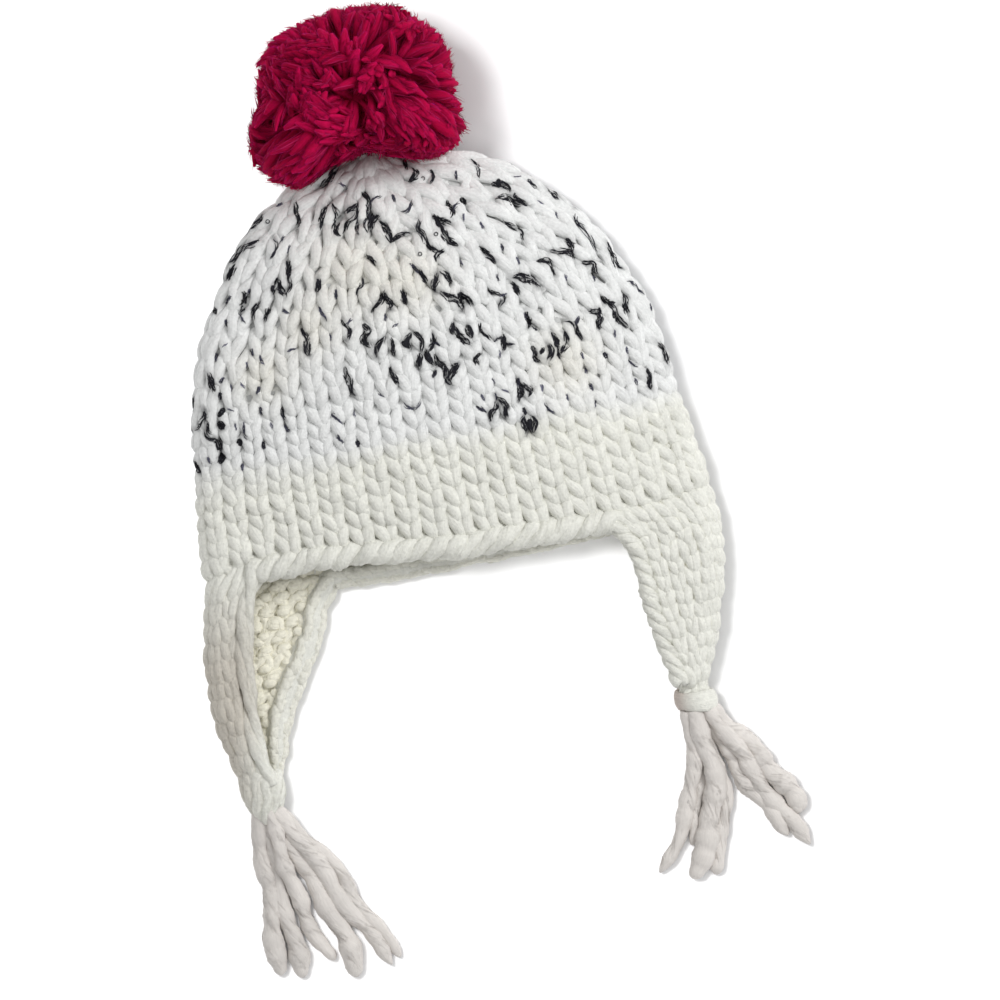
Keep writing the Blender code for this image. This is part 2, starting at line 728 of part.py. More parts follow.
def make_pompom(group, cutters):
    """Make the pompom: brushed locks fused to a core, seated on the gathered top."""
    centre = Vector((POMPOM_SHIFT, APEX_Y - POMPOM_SEAT + POMPOM_DEPTH / 2, POMPOM_HEIGHT / 2))
    bpy.ops.mesh.primitive_uv_sphere_add(segments=20, ring_count=12, radius=1.0, location=centre)
    core = bpy.context.object
    core.name = "pompom"
    core.data.name = "pompom"
    reach = LOCK_DIAMETER * LOCK_SHOW
    sizes = (POMPOM_WIDTH / 2 - reach, POMPOM_DEPTH / 2 - reach, POMPOM_HEIGHT / 2 - reach)
    core.data.transform(Matrix.Diagonal((*sizes, 1.0)))
    locks = bpy.data.collections.new("pompom_locks")
    cutters.children.link(locks)
    for i, direction in enumerate(lock_directions(LOCK_COUNT)):
        size = LOCK_DIAMETER / 2 * (1 + LOCK_VARIETY * math.sin(i * GOLDEN_ANGLE))
        outward = Vector(direction)
        spot = centre + outward * (float(pompom_reach(direction)) - size * LOCK_LENGTH)
        bpy.ops.mesh.primitive_ico_sphere_add(subdivisions=2, radius=size)
        lock = bpy.context.object
        lock.name = f"pompom_lock_{i}"
        lock.matrix_world = (Matrix.Translation(spot) @ outward.to_track_quat("Z", "Y").to_matrix().to_4x4()
                             @ Matrix.Diagonal((1.0, 1.0, LOCK_LENGTH, 1.0)))
        hide_guide(place(lock, locks))
    combine(core, "locks", "UNION", locks)
    combine(core, "crown_room", "DIFFERENCE", crown_cutter(cutters))
    bpy.ops.mesh.primitive_cube_add(size=1.0)
    floor = bpy.context.object
    floor.name = "pompom_floor"
    floor.matrix_world = (Matrix.Translation((centre.x, centre.y, -POMPOM_HEIGHT / 2))
                          @ Matrix.Diagonal((POMPOM_WIDTH * 2, POMPOM_DEPTH * 2, POMPOM_HEIGHT, 1.0)))
    hide_guide(place(floor, cutters))
    combine(core, "rest", "DIFFERENCE", floor)
    return place(core, group, CRIMSON_WOOL)


def main():
    """Build the hat."""
    clear_scene()
    group = make_collection("earflap_pompom_hat")
    cutters = make_collection("cutters")
    make_crown(group)
    make_band(group)
    make_flap("ear_flap_left", -1, group)
    make_flap("ear_flap_right", 1, group)
    make_edging("edging_front", True, group)
    make_edging("edging_back", False, group)
    make_knot("knot_left", -1, group)
    make_knot("knot_right", 1, group)
    make_tassel("tassel_left", -1, group, cutters)
    make_tassel("tassel_right", 1, group, cutters)
    make_pompom(group, cutters)


main()
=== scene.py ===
"""Looks of the earflap pompom hat: knitted walls, twisted edging, knots, tassels and a brushed pompom.

Metres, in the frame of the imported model. Every thread is a tube swept along its own line. The knitted
walls are loops laid on the model's outer faces, so the tables and functions that shape those faces are
repeated here from the part's source.
"""

import math
from collections import namedtuple

import bpy
import numpy as np
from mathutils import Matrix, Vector
from mathutils.bvhtree import BVHTree


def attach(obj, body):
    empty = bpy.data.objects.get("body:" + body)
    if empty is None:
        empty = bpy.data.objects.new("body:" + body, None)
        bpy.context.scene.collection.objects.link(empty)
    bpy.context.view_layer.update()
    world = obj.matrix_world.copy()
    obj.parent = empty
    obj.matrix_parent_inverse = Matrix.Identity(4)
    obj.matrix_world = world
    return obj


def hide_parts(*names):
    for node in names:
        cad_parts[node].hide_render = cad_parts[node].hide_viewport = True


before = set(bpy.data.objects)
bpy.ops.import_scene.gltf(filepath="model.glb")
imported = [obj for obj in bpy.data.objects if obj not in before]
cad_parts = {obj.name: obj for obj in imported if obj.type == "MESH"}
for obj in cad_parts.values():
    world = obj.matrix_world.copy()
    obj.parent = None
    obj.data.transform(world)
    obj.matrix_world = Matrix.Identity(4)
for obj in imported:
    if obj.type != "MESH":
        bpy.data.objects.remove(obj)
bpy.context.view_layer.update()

MM = 0.001
TURN = 2 * math.pi

# Driving sizes of the part
HALF_WIDTH = 0.1125
APEX_Y = 0.150
RIM_DROP = 0.027
LOFT = 0.046
KNIT_WALL = 0.008
FLAP_WALL = 0.0068
EDGING_DIAMETER = 0.0104
FLAP_EDGING_DIAMETER = 0.0076
ROLL_DIAMETER = 0.0100
STRAND_DIAMETER = 0.0088
POMPOM_WIDTH = 0.100
POMPOM_DEPTH = 0.076
POMPOM_HEIGHT = 0.084
POMPOM_SHIFT = -0.0095
POMPOM_SEAT = 0.013
POMPOM_SQUARENESS = 2.7
GAP = 0.0003
SEAM_GAP = 0.0011
COLUMNS = 44
FOLD_CROWDING = 0.45
STRAIGHT_SHARE = 0.40
ROW_BOW = 2.2
NEAR_RIM_SHARE = 0.03
RIM_FADE_SHARE = 0.33
FLAP_LEVEL_SHARE = 0.50
SECTION_SAMPLES = 48
SLOPE_ROUNDS = 6
TINY = 0.00001
ROOT_RISE = 0.6
GOLDEN_ANGLE = math.pi * (3 - math.sqrt(5))

Edge = namedtuple("Edge", "height left right")
BODY_EDGE = [Edge(*row) for row in (
    (-0.160, 1.018, 1.024), (0.000, 1.000, 1.000), (0.133, 0.975, 0.972), (0.267, 0.953, 0.955),
    (0.400, 0.918, 0.928), (0.533, 0.850, 0.856), (0.667, 0.752, 0.762), (0.733, 0.694, 0.692),
    (0.800, 0.618, 0.610), (0.867, 0.520, 0.500), (0.933, 0.392, 0.350), (0.975, 0.262, 0.195),
    (1.000, 0.044, -0.044),
)]

Section = namedtuple("Section", "along top fold under")
BODY_SECTIONS = [Section(*row) for row in (
    (0.00, 0.70, 0.250, 0.00), (0.15, 0.82, 0.260, 0.00), (0.30, 0.93, 0.280, 0.00),
    (0.50, 1.00, 0.300, 0.00), (0.70, 0.98, 0.310, 0.00), (0.82, 0.92, 0.315, 0.00),
    (0.90, 0.84, 0.310, 0.00), (0.95, 0.74, 0.280, 0.03), (0.985, 0.60, 0.130, 0.14),
    (1.00, 0.37, 0.000, 0.37),
)]

Rim = namedtuple("Rim", "across front back")
RIM_LINE = [Rim(*row) for row in (
    (-1.00, 0.89, 0.89), (-0.78, 0.73, 1.00), (-0.45, 0.76, 1.10), (-0.22, 0.88, 1.13),
    (0.00, 1.00, 1.13), (0.45, 1.04, 1.10), (0.65, 1.05, 1.04), (0.85, 1.00, 0.95), (1.00, 0.89, 0.89),
)]

Flap = namedtuple("Flap", "drop fold front back radius")
FLAP_LEFT = [Flap(*row) for row in (
    (0.00, 1.018, 0.782, 0.551, 0.250), (0.08, 1.031, 0.862, 0.587, 0.245),
    (0.17, 1.049, 0.900, 0.636, 0.240), (0.28, 1.062, 0.926, 0.662, 0.236),
    (0.38, 1.076, 0.940, 0.707, 0.232), (0.54, 1.089, 0.953, 0.796, 0.226),
    (0.70, 1.078, 0.962, 0.866, 0.218), (0.84, 1.052, 0.958, 0.896, 0.208),
    (1.00, 1.020, 0.945, 0.920, 0.198),
)]
FLAP_RIGHT = [Flap(*row) for row in (
    (0.00, 1.024, 0.604, 0.750, 0.250), (0.09, 1.033, 0.660, 0.762, 0.248),
    (0.19, 1.037, 0.700, 0.772, 0.246), (0.31, 1.032, 0.718, 0.780, 0.243),
    (0.43, 1.020, 0.726, 0.782, 0.240), (0.61, 0.988, 0.734, 0.786, 0.234),
    (0.79, 0.944, 0.756, 0.794, 0.224), (0.91, 0.904, 0.772, 0.800, 0.214),
    (1.00, 0.876, 0.784, 0.806, 0.204),
)]

Strand = namedtuple("Strand", "root upper lower tip drop thick rise sharp")
STRANDS_LEFT = [Strand(*row) for row in (
    (-0.070, -0.072, -0.090, -0.100, 0.910, 1.05, 0.50, 0.0),
    (-0.015, -0.016, 0.004, 0.014, 0.945, 0.98, 0.50, 0.0),
    (0.012, 0.050, 0.085, 0.210, 0.880, 0.92, 0.90, 0.5),
    (0.040, 0.135, 0.275, 0.310, 1.000, 1.05, 0.50, 0.0),
    (0.062, 0.210, 0.375, 0.515, 0.970, 1.05, 0.70, 0.9),
    (0.080, 0.272, 0.425, 0.570, 0.930, 0.78, 0.50, 0.4),
)]
STRANDS_RIGHT = [Strand(*row) for row in (
    (-0.085, -0.095, -0.190, -0.410, 0.920, 0.95, 0.70, 1.0),
    (-0.030, 0.012, -0.050, -0.215, 1.000, 1.15, 0.90, 0.0),
    (0.005, 0.055, 0.025, -0.085, 0.990, 0.78, 0.45, 0.0),
    (-0.060, -0.055, -0.105, -0.190, 0.790, 0.70, 0.40, 0.6),
    (0.045, 0.130, 0.265, 0.390, 0.845, 0.92, 0.50, 0.4),
    (0.070, 0.205, 0.360, 0.505, 0.925, 1.00, 0.80, 0.6),
    (0.090, 0.250, 0.410, 0.500, 0.720, 1.10, 0.50, 0.0),
)]

# What each side has: -1 is the left, 1 the right
Side = namedtuple("Side", "flap flap_length knot_width knot_length strands tassel_length")
SIDES = {
    -1: Side(FLAP_LEFT, 0.094, 0.0180, 0.0115, STRANDS_LEFT, 0.080),
    1: Side(FLAP_RIGHT, 0.0835, 0.0165, 0.0140, STRANDS_RIGHT, 0.074),
}


# Shapes repeated from the part's source

def lerp(a, b, share):
    """Return the value a share of the way from a to b."""
    return a + (b - a) * share


def column(table, name):
    """Return one named column of a table as an array."""
    return np.array([getattr(row, name) for row in table])


def read(table, key, name, at):
    """Read a named column of a table between its rows."""
    return np.interp(at, column(table, key), column(table, name))


def rounded(points, per_span=8):
    """Return a smooth line through the points, by Catmull-Rom."""
    points = [np.asarray(p, dtype=float) for p in points]
    padded = [2 * points[0] - points[1]] + points + [2 * points[-1] - points[-2]]
    line = []
    for i in range(1, len(padded) - 2):
        p0, p1, p2, p3 = padded[i - 1:i + 3]
        for step in range(per_span):
            t = step / per_span
            line.append(0.5 * (2 * p1 + (p2 - p0) * t + (2 * p0 - 5 * p1 + 4 * p2 - p3) * t ** 2
                               + (3 * p1 - p0 - 3 * p2 + p3) * t ** 3))
    line.append(points[-1])
    return np.array(line)


def lengths_along(line):
    """Return the distance from the start of a line to each of its points."""
    steps = np.linalg.norm(np.diff(line, axis=0), axis=1)
    return np.concatenate([[0.0], np.cumsum(steps)])


def point_at(line, distance, along=None):
    """Return the points of a line at some distances from its start, and its other columns there."""
    if along is None:
        along = lengths_along(line)
    return np.stack([np.interp(distance, along, line[:, k]) for k in range(line.shape[1])], axis=-1)


def edge_line(side):
    """Return the folded edge from rim to apex as points in plan; side is -1 for left, 1 for right."""
    name = "left" if side < 0 else "right"
    points = [(side * getattr(row, name) * HALF_WIDTH, row.height * APEX_Y) for row in BODY_EDGE]
    return rounded(points)


EDGE_LINES = {side: edge_line(side) for side in (-1, 1)}


def row_height(share):
    """Return the height in plan of a row at the middle of the front."""
    return lerp(-RIM_DROP, APEX_Y, share)


def fold_point(side, share):
    """Return where a row meets the folded edge."""
    line = EDGE_LINES[side]
    along = lengths_along(line)
    start = np.interp(row_height(STRAIGHT_SHARE), line[:, 1], along)
    if share <= STRAIGHT_SHARE:
        height = lerp(line[0, 1], row_height(STRAIGHT_SHARE), share / STRAIGHT_SHARE)
        return point_at(line, np.interp(height, line[:, 1], along))
    rest = (share - STRAIGHT_SHARE) / (1 - STRAIGHT_SHARE)
    return point_at(line, lerp(start, along[-1], rest))


def half_section(width, top, fold):
    """Return half a section from the top's middle to the underside's middle, as across and height."""
    fold = min(fold, width * 0.999)
    slope = 0.0
    for _ in range(SLOPE_ROUNDS):
        reach = width - fold + fold * math.sin(slope)
        rise = fold + fold * math.cos(slope)
        slope = math.atan(2 * (top - rise) / reach)
    x_top = np.linspace(0, reach, SECTION_SAMPLES)
    crowned = np.stack([x_top, top - (top - rise) * (x_top / reach) ** 2], axis=1)
    angles = np.linspace(math.pi / 2 - slope, -math.pi / 2, SECTION_SAMPLES)[1:]
    arc = np.stack([width - fold + fold * np.cos(angles), fold + fold * np.sin(angles)], axis=1)
    flat_x = np.linspace(width - fold, 0, SECTION_SAMPLES // 2)[1:]
    flat = np.stack([flat_x, np.zeros_like(flat_x)], axis=1)
    return np.concatenate([crowned, arc, flat])


def rim_drop(side, across, is_front):
    """Return how far the rim lies below the origin, across the front or the back."""
    front = read(RIM_LINE, "across", "front", side * across)
    back = read(RIM_LINE, "across", "back", side * across)
    return np.where(is_front, front, back) * RIM_DROP


def body_loop(share):
    """Return one row of the tube as a closed line, from the front's middle to the right and round."""
    ends = {side: fold_point(side, share) for side in (-1, 1)}
    middle = (ends[-1][0] + ends[1][0]) / 2
    width = max((ends[1][0] - ends[-1][0]) / 2, TINY)
    top = read(BODY_SECTIONS, "along", "top", share) * LOFT
    fold = read(BODY_SECTIONS, "along", "fold", share) * LOFT
    under = read(BODY_SECTIONS, "along", "under", share) * LOFT
    half = half_section(width, max(top - under, TINY), max(fold, TINY))
    front_count = int(np.argmax(half[:, 0])) + 1
    lines = []
    for side in (1, -1):
        across = half[:, 0] / width
        is_front = np.arange(len(half)) < front_count
        bow = across ** ROW_BOW
        plain = lerp(row_height(share), ends[side][1], bow)
        rim = -rim_drop(side, across, is_front) - lerp(-RIM_DROP, fold_point(side, 0.0)[1], bow)
        y = plain + rim * max(0.0, 1 - share / STRAIGHT_SHARE)
        lines.append(np.stack([middle + side * half[:, 0], y, half[:, 1] + under], axis=1))
    return np.concatenate([lines[0], lines[1][::-1][1:]])


def ring_shares():
    """Return where a row's points lie round the tube, closer together at the two folds."""
    even = np.arange(COLUMNS) / COLUMNS
    return even + FOLD_CROWDING * np.sin(4 * math.pi * even) / (4 * math.pi)


def body_ring(share):
    """Return one row of the tube as points round its outer face."""
    loop = body_loop(share)
    return point_at(loop, ring_shares() * lengths_along(loop)[-1])


def flap_section(side, drop):
    """Return half a section at a flap's height, and where the flap's wall starts and ends along it."""
    table = SIDES[side].flap
    names = ("fold", "front", "back")
    fold_x, front_x, back_x = (read(table, "drop", name, drop) * HALF_WIDTH for name in names)
    radius = read(table, "drop", "radius", drop) * LOFT
    top = lerp(BODY_SECTIONS[0].top * LOFT, 2 * radius, min(1.0, drop / FLAP_LEVEL_SHARE))
    half = half_section(fold_x, top, radius)
    turn = int(np.argmax(half[:, 0]))
    along = lengths_along(half)
    start = np.interp(front_x, half[:turn + 1, 0], along[:turn + 1])
    end = np.interp(-back_x, -half[turn:, 0], along[turn:])
    return half, start, end


def flap_row(side, drop, shares):
    """Return one row of a flap on its outer face, from its front wall edge round the fold to the back."""
    half, start, end = flap_section(side, drop)
    along = lerp(start, end, shares)
    spots = point_at(half, along)
    is_front = along < lengths_along(half)[int(np.argmax(half[:, 0]))]
    fold_drop = RIM_LINE[0].front * RIM_DROP
    settle = max(0.0, 1 - drop / RIM_FADE_SHARE)
    rim = rim_drop(side, spots[:, 0] / (HALF_WIDTH * SIDES[side].flap[0].fold), is_front)
    y = -fold_drop - drop * SIDES[side].flap_length - SEAM_GAP + (fold_drop - rim) * settle
    return np.stack([side * spots[:, 0], y, spots[:, 1]], axis=1)


def flap_columns(side):
    """Return the columns of the tube's lowest row that a flap hangs from, front edge first."""
    _, start, end = flap_section(side, 0.0)
    shares = ring_shares() if side > 0 else (1 - ring_shares()) % 1.0
    from_front = shares * lengths_along(body_loop(0.0))[-1]
    order = np.argsort(from_front)
    slack = from_front[order[1]] / 4
    return [i for i in order if start - slack <= from_front[i] <= end + slack]


def flap_grid(side):
    """Return a flap's rows: the first one lies along the rim, just below it."""
    top_row = body_ring(0.0)[flap_columns(side)] + np.array([0.0, -SEAM_GAP, 0.0])
    along = lengths_along(top_row)
    shares = along / along[-1]
    return [top_row] + [flap_row(side, row.drop, shares) for row in SIDES[side].flap[1:]]


def flap_edge(side, is_front):
    """Return a flap's edge below its first row, as points with the wall's outward directions."""
    grid = flap_grid(side)
    edge, inner = (0, 1) if is_front else (-1, -2)
    rows = []
    for above, row in zip(grid, grid[1:]):
        normal = np.cross(row[edge] - above[edge], row[inner] - row[edge])
        normal *= np.sign(normal[2]) * (1 if is_front else -1)
        rows.append((row[edge], normal / np.linalg.norm(normal)))
    return rows


def rim_edge(is_front):
    """Return the rim from the left flap to the right one, as points with the wall's outward directions."""
    ring, above = body_ring(0.0), body_ring(NEAR_RIM_SHARE)
    left, right = flap_columns(-1), flap_columns(1)
    if is_front:
        order = [i % COLUMNS for i in range(left[0] - COLUMNS, right[0] + 1)]
    else:
        order = range(left[-1], right[-1] - 1, -1)
    rows = []
    for i in order:
        normal = np.cross(ring[(i + 1) % COLUMNS] - ring[i - 1], above[i] - ring[i])
        rows.append((ring[i], normal / np.linalg.norm(normal)))
    return rows


def edging_line(is_front):
    """Return the edging's centre line, its radii and the wall's outward directions."""
    left, rim, right = flap_edge(-1, is_front)[::-1], rim_edge(is_front), flap_edge(1, is_front)
    left_diameter = FLAP_EDGING_DIAMETER if is_front else ROLL_DIAMETER
    counts = (len(left), len(rim), len(right))
    radii = np.repeat([left_diameter / 2, EDGING_DIAMETER / 2, FLAP_EDGING_DIAMETER / 2], counts)
    wall = np.repeat([FLAP_WALL, KNIT_WALL, FLAP_WALL], counts)[:, None]
    points, normals = (np.array(part) for part in zip(*(left + rim + right)))
    middle = points - normals * wall / 2
    up = normals if is_front else -normals
    aside = np.cross(np.diff(middle, axis=0), (up[1:] + up[:-1]) / 2)
    aside /= np.linalg.norm(aside, axis=1)[:, None]
    before = np.concatenate([aside[:1], aside])
    after = np.concatenate([aside, aside[-1:]])
    mitre = (before + after) / (1 + np.sum(before * after, axis=1))[:, None]
    line = middle + mitre * (radii * 0.80)[:, None]
    if not is_front:
        line[:, 2] = np.maximum(line[:, 2], radii)
    return line, radii, up


def neck(side):
    """Return the middle of a flap's lower end in plan, and the height of that end."""
    x = side * (SIDES[side].flap[-1].fold * HALF_WIDTH - SIDES[side].knot_width / 2)
    return x, -RIM_LINE[0].front * RIM_DROP - SIDES[side].flap_length - SEAM_GAP


def pompom_reach(direction):
    """Return how far the pompom's outside lies from its middle, for directions of unit length."""
    halves = np.array([POMPOM_WIDTH, POMPOM_DEPTH, POMPOM_HEIGHT]) / 2
    scaled = np.abs(direction) / halves
    return np.sum(scaled ** POMPOM_SQUARENESS, axis=-1) ** (-1 / POMPOM_SQUARENESS)

# Smooth noise and colours

WAVES = 5


def linear(red, green, blue):
    """Return a colour given as 0 to 255 display values in linear light."""
    value = np.array([red, green, blue]) / 255
    return np.where(value <= 0.04045, value / 12.92, ((value + 0.055) / 1.055) ** 2.4)


def unit(vectors):
    """Return vectors scaled to unit length."""
    return vectors / np.maximum(np.linalg.norm(vectors, axis=-1, keepdims=True), 1e-12)


def wander(points, scale, seed):
    """Return smooth noise of about -1 to 1 at some points, which varies over a scale in metres."""
    rng = np.random.default_rng(seed)
    total = np.zeros(points.shape[:-1])
    for _ in range(WAVES):
        direction = unit(rng.normal(size=3)) * TURN / (scale * rng.uniform(0.7, 1.6))
        total += np.sin(points @ direction + rng.uniform(0, TURN))
    return total / (WAVES / 2)


WHITE = linear(231, 232, 231)
IVORY = linear(230, 230, 222)
CREAM = linear(226, 222, 208)
# painted light: the inner side's yarn, a brighter and warmer cream than the outside's, for warm indirect
# light inside the hat
INNER_WARM_LIT = linear(243, 240, 224)
# painted shade: the brownish grey that the left flap's outer side is darkened towards
EDGE_SHADE_COLOUR = linear(188, 180, 168)
# painted shade: the brownish grey of the right knot's collar at its left end
COLLAR_SHADE_COLOUR = linear(158, 126, 116)
BLACK = linear(24, 24, 30)
TASSEL = linear(221, 216, 211)
CRIMSON = linear(190, 11, 76)
# a darker crimson: painted shade at the locks' roots and on the core, and one end of the fibres' random tones
CRIMSON_DEEP = linear(160, 4, 53)
CRIMSON_LIGHT = linear(204, 46, 106)

# Creamy patches of the white yarn: x, y and radius in millimetres
CREAM_PATCHES = ((-22, 97, 20), (2, 88, 14), (-47, 76, 12), (62, 40, 15), (-70, 60, 12))


def wool_colour(points):
    """Return the yarn's colour: ivory low down, a cooler white above, creamy in patches, painted shade at the
    left flap's outer side.
    """
    y = points[..., 1] / MM + 3.0 * wander(points, 0.03, 3)
    colour = lerp(IVORY, WHITE, np.clip((y - 10) / 12, 0, 1)[..., None])
    for x0, y0, radius in CREAM_PATCHES:
        spot = np.array([x0, y0]) * MM
        near = np.exp(-np.sum((points[..., :2] - spot) ** 2, axis=-1) / (radius * MM) ** 2)
        colour = lerp(colour, CREAM, 0.5 * near[..., None])
    x = points[..., 0] / MM
    # painted shade: low down on the left flap's outer side the colour goes part way to a brownish grey
    edge_shade = np.clip((-24 - y) / 40, 0, 1) * np.clip((-86 + 0.22 * (y + 30) - x) / 12, 0, 1)
    return lerp(colour, EDGE_SHADE_COLOUR, 0.75 * edge_shade[..., None])


# Threads: many swept tubes gathered into one mesh

REST = 0.15 * MM         # how high the lowest yarn lies


def above_floor(points):
    """Return points with none lower than where the lowest yarn lies."""
    points = points.copy()
    points[..., 2] = np.maximum(points[..., 2], REST)
    return points


def frames(line, up, closed=False):
    """Return the sideways and outward directions of tubes along lines."""
    if closed:
        ahead = np.roll(line, -1, axis=-2) - np.roll(line, 1, axis=-2)
    else:
        ahead = np.gradient(line, axis=-2)
    ahead = unit(ahead)
    aside = unit(np.cross(ahead, up))
    return aside, np.cross(aside, ahead)


def round_tube(aside, over, angle):
    """Return the directions from a tube's middle at angles round it."""
    return aside * np.cos(angle)[..., None] + over * np.sin(angle)[..., None]


def plain_array(parts, kind=np.float32):
    """Return gathered arrays as one plain one."""
    return np.concatenate(parts).astype(kind).ravel()


def new_object(name, data):
    """Add an object to the scene."""
    item = bpy.data.objects.new(name, data)
    bpy.context.scene.collection.objects.link(item)
    return item


class Threads:
    """Gathers swept tubes, ribbons and sheets that become one mesh."""

    def __init__(self):
        """Start with nothing gathered."""
        self.points, self.thread, self.colour = [], [], []
        self.quads, self.caps = [], []
        self.count = 0
        self.last = None

    def keep(self, points, thread, colour, quads):
        """Gather points, their places along the thread, their colours and the faces between them."""
        for kept, new in ((self.points, points), (self.thread, thread), (self.colour, colour)):
            kept.append(new.reshape(-1, 3))
        self.quads.append(self.count + quads.reshape(-1, 4))
        self.count += len(self.points[-1])

    def add(self, line, up, wide, thick, colour, sides=8, closed=False, grain=0.0, seed=0):
        """Sweep a tube along one line, (points, 3), or along each of several, (tubes, points, 3).

        up gives the outward directions, wide and thick the radii, and colour is one for all, one for
        each point, or one for each point and side.
        """
        if line.ndim == 2:
            line, up, wide, thick = line[None], up[None], wide[None], thick[None]
            colour = colour[None] if colour.ndim == 3 else np.broadcast_to(colour, line.shape)
        tubes, steps = line.shape[:2]
        if colour.ndim < 4:
            colour = np.broadcast_to(colour, line.shape)[:, :, None]
        colour = np.broadcast_to(colour, (tubes, steps, sides, 3))
        aside, over = frames(line, up, closed)
        angle = TURN * np.arange(sides) / sides
        cos, sin = np.cos(angle), np.sin(angle)
        swell = 1.0
        if grain:
            swell = 1 + grain * np.random.default_rng(seed).uniform(-1, 1, (tubes, steps, sides))
        across = (wide[..., None] * cos * swell)[..., None]
        upward = (thick[..., None] * sin * swell)[..., None]
        ring = above_floor(line[:, :, None] + aside[:, :, None] * across + over[:, :, None] * upward)
        along = np.cumsum(np.linalg.norm(np.diff(line, axis=1), axis=2), axis=1)
        along = np.concatenate([np.zeros((tubes, 1)), along], axis=1)[..., None]
        shift = np.random.default_rng(seed + 7).uniform(0, 1, (tubes, 1, 1))
        radius = np.maximum(wide, thick)[..., None]
        thread = np.stack(np.broadcast_arrays(along + shift, radius * cos + shift, radius * sin), axis=-1)
        spans = steps if closed else steps - 1
        k, i, j = np.meshgrid(np.arange(tubes), np.arange(spans), np.arange(sides), indexing="ij")
        row, next_row, next_side = i * sides, (i + 1) % steps * sides, (j + 1) % sides
        quads = np.stack([row + j, row + next_side, next_row + next_side, next_row + j], axis=-1)
        quads = quads + (k * steps * sides)[..., None]
        if not closed:
            start = self.count + np.arange(tubes)[:, None] * steps * sides
            self.caps.append((start + np.arange(sides)[::-1], sides))
            self.caps.append((start + (steps - 1) * sides + np.arange(sides), sides))
        self.keep(ring, thread, colour, quads)
        self.last = line, aside, over, wide, thick
        return aside, over

    def ribbons(self, line, aside, width, colour):
        """Lay flat two-sided ribbons, tapered to a point, along lines (ribbons, points, 3)."""
        tubes, steps = line.shape[:2]
        taper = width[:, None] * np.sin(math.pi * np.linspace(0.12, 0.96, steps)) / 2
        shift = aside * taper[..., None]
        ring = above_floor(np.stack([line + shift, line - shift], axis=2))
        colour = np.repeat(np.broadcast_to(colour, line.shape)[:, :, None], 2, axis=2)
        k, i = np.meshgrid(np.arange(tubes), np.arange(steps - 1), indexing="ij")
        self.keep(ring, ring, colour, ((k * steps + i) * 2)[..., None] + np.array([0, 1, 3, 2]))

    def fuzz(self, colour, count, span, rng, lift=0.22, width=0.17, points=4, around=math.pi):
        """Scatter fine stray fibres over the tubes added last; each follows some samples of its tube."""
        line, aside, over, wide, thick = self.last
        tubes, steps = line.shape[:2]
        colour = np.broadcast_to(colour, line.shape)
        tube = rng.integers(0, tubes, count)[:, None]
        length = rng.uniform(0.5, 1.0, (count, 1)) * span
        start = rng.uniform(0, 1, (count, 1)) * np.maximum(steps - 1 - length, 0)
        at = np.clip(start + length * np.linspace(0, 1, points), 0, steps - 1.001)
        i = np.floor(at).astype(int)
        s = (at - i)[..., None]
        angle = rng.uniform(0.0, around, (count, 1))
        angle = angle + rng.normal(0, 0.7, (count, 1)) * np.linspace(-0.5, 0.5, points)
        spot, side, top, tone = (lerp(field[tube, i], field[tube, i + 1], s)
                                 for field in (line, aside, over, colour))
        wide, thick = (lerp(field[tube, i], field[tube, i + 1], s[..., 0]) for field in (wide, thick))
        rise = 1.02 + rng.uniform(0, lift, (count, 1)) * np.linspace(0.3, 1, points)
        out = side * (wide * rise * np.cos(angle))[..., None]
        out = out + top * (thick * rise * np.sin(angle))[..., None]
        path = spot + out
        flat = unit(np.cross(np.gradient(path, axis=1), out) + 1e-12)
        self.ribbons(path, flat, rng.uniform(0.7, 1.3, count) * width * MM, tone)

    def sheet(self, grid, colour):
        """Lay a grid of points (rows, columns, 3) as one sheet."""
        rows, columns = grid.shape[:2]
        grid = above_floor(grid)
        i, j = np.meshgrid(np.arange(rows - 1), np.arange(columns - 1), indexing="ij")
        quads = (i * columns + j)[..., None] + np.array([0, 1, columns + 1, columns])
        self.keep(grid, grid, np.broadcast_to(colour, grid.shape), quads)

    def build(self, name, material, slot, nodes=()):
        """Return what was gathered as one object that rides on the part and stands for some nodes."""
        quads = np.concatenate(self.quads)
        loops, starts, total = [quads.ravel()], [np.arange(len(quads)) * 4], quads.size
        for cap, sides in self.caps:
            loops.append(cap.ravel())
            starts.append(total + np.arange(len(cap)) * sides)
            total += cap.size
        loops, starts = plain_array(loops, np.int32), plain_array(starts, np.int32)
        mesh = bpy.data.meshes.new(name)
        mesh.vertices.add(self.count)
        mesh.vertices.foreach_set("co", plain_array(self.points))
        mesh.loops.add(len(loops))
        mesh.loops.foreach_set("vertex_index", loops)
        mesh.polygons.add(len(starts))
        mesh.polygons.foreach_set("loop_start", starts)
        mesh.polygons.foreach_set("use_smooth", np.ones(len(starts), dtype=bool))
        mesh.update(calc_edges=True)
        thread = mesh.attributes.new("thread", "FLOAT_VECTOR", "POINT")
        thread.data.foreach_set("vector", plain_array(self.thread))
        # the per-point colour: the yarn's own colours, with painted shade and light in places
        rgba = np.concatenate([np.concatenate(self.colour), np.ones((self.count, 1))], axis=1)
        dye_and_painted_light = mesh.attributes.new("dye_and_painted_light", "FLOAT_COLOR", "POINT")
        dye_and_painted_light.data.foreach_set("color", plain_array([rgba]))
        mesh.materials.append(material)
        item = new_object(name, mesh)
        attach(item, "root")
        if nodes:
            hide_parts(*nodes)
        return item


# Materials

FIBRE_STRETCH = (180, 1400, 1400)        # fibres run along the thread: noise steps per metre each way
CLOUD_SCALE = 90.0
NUB_SCALE = 750.0


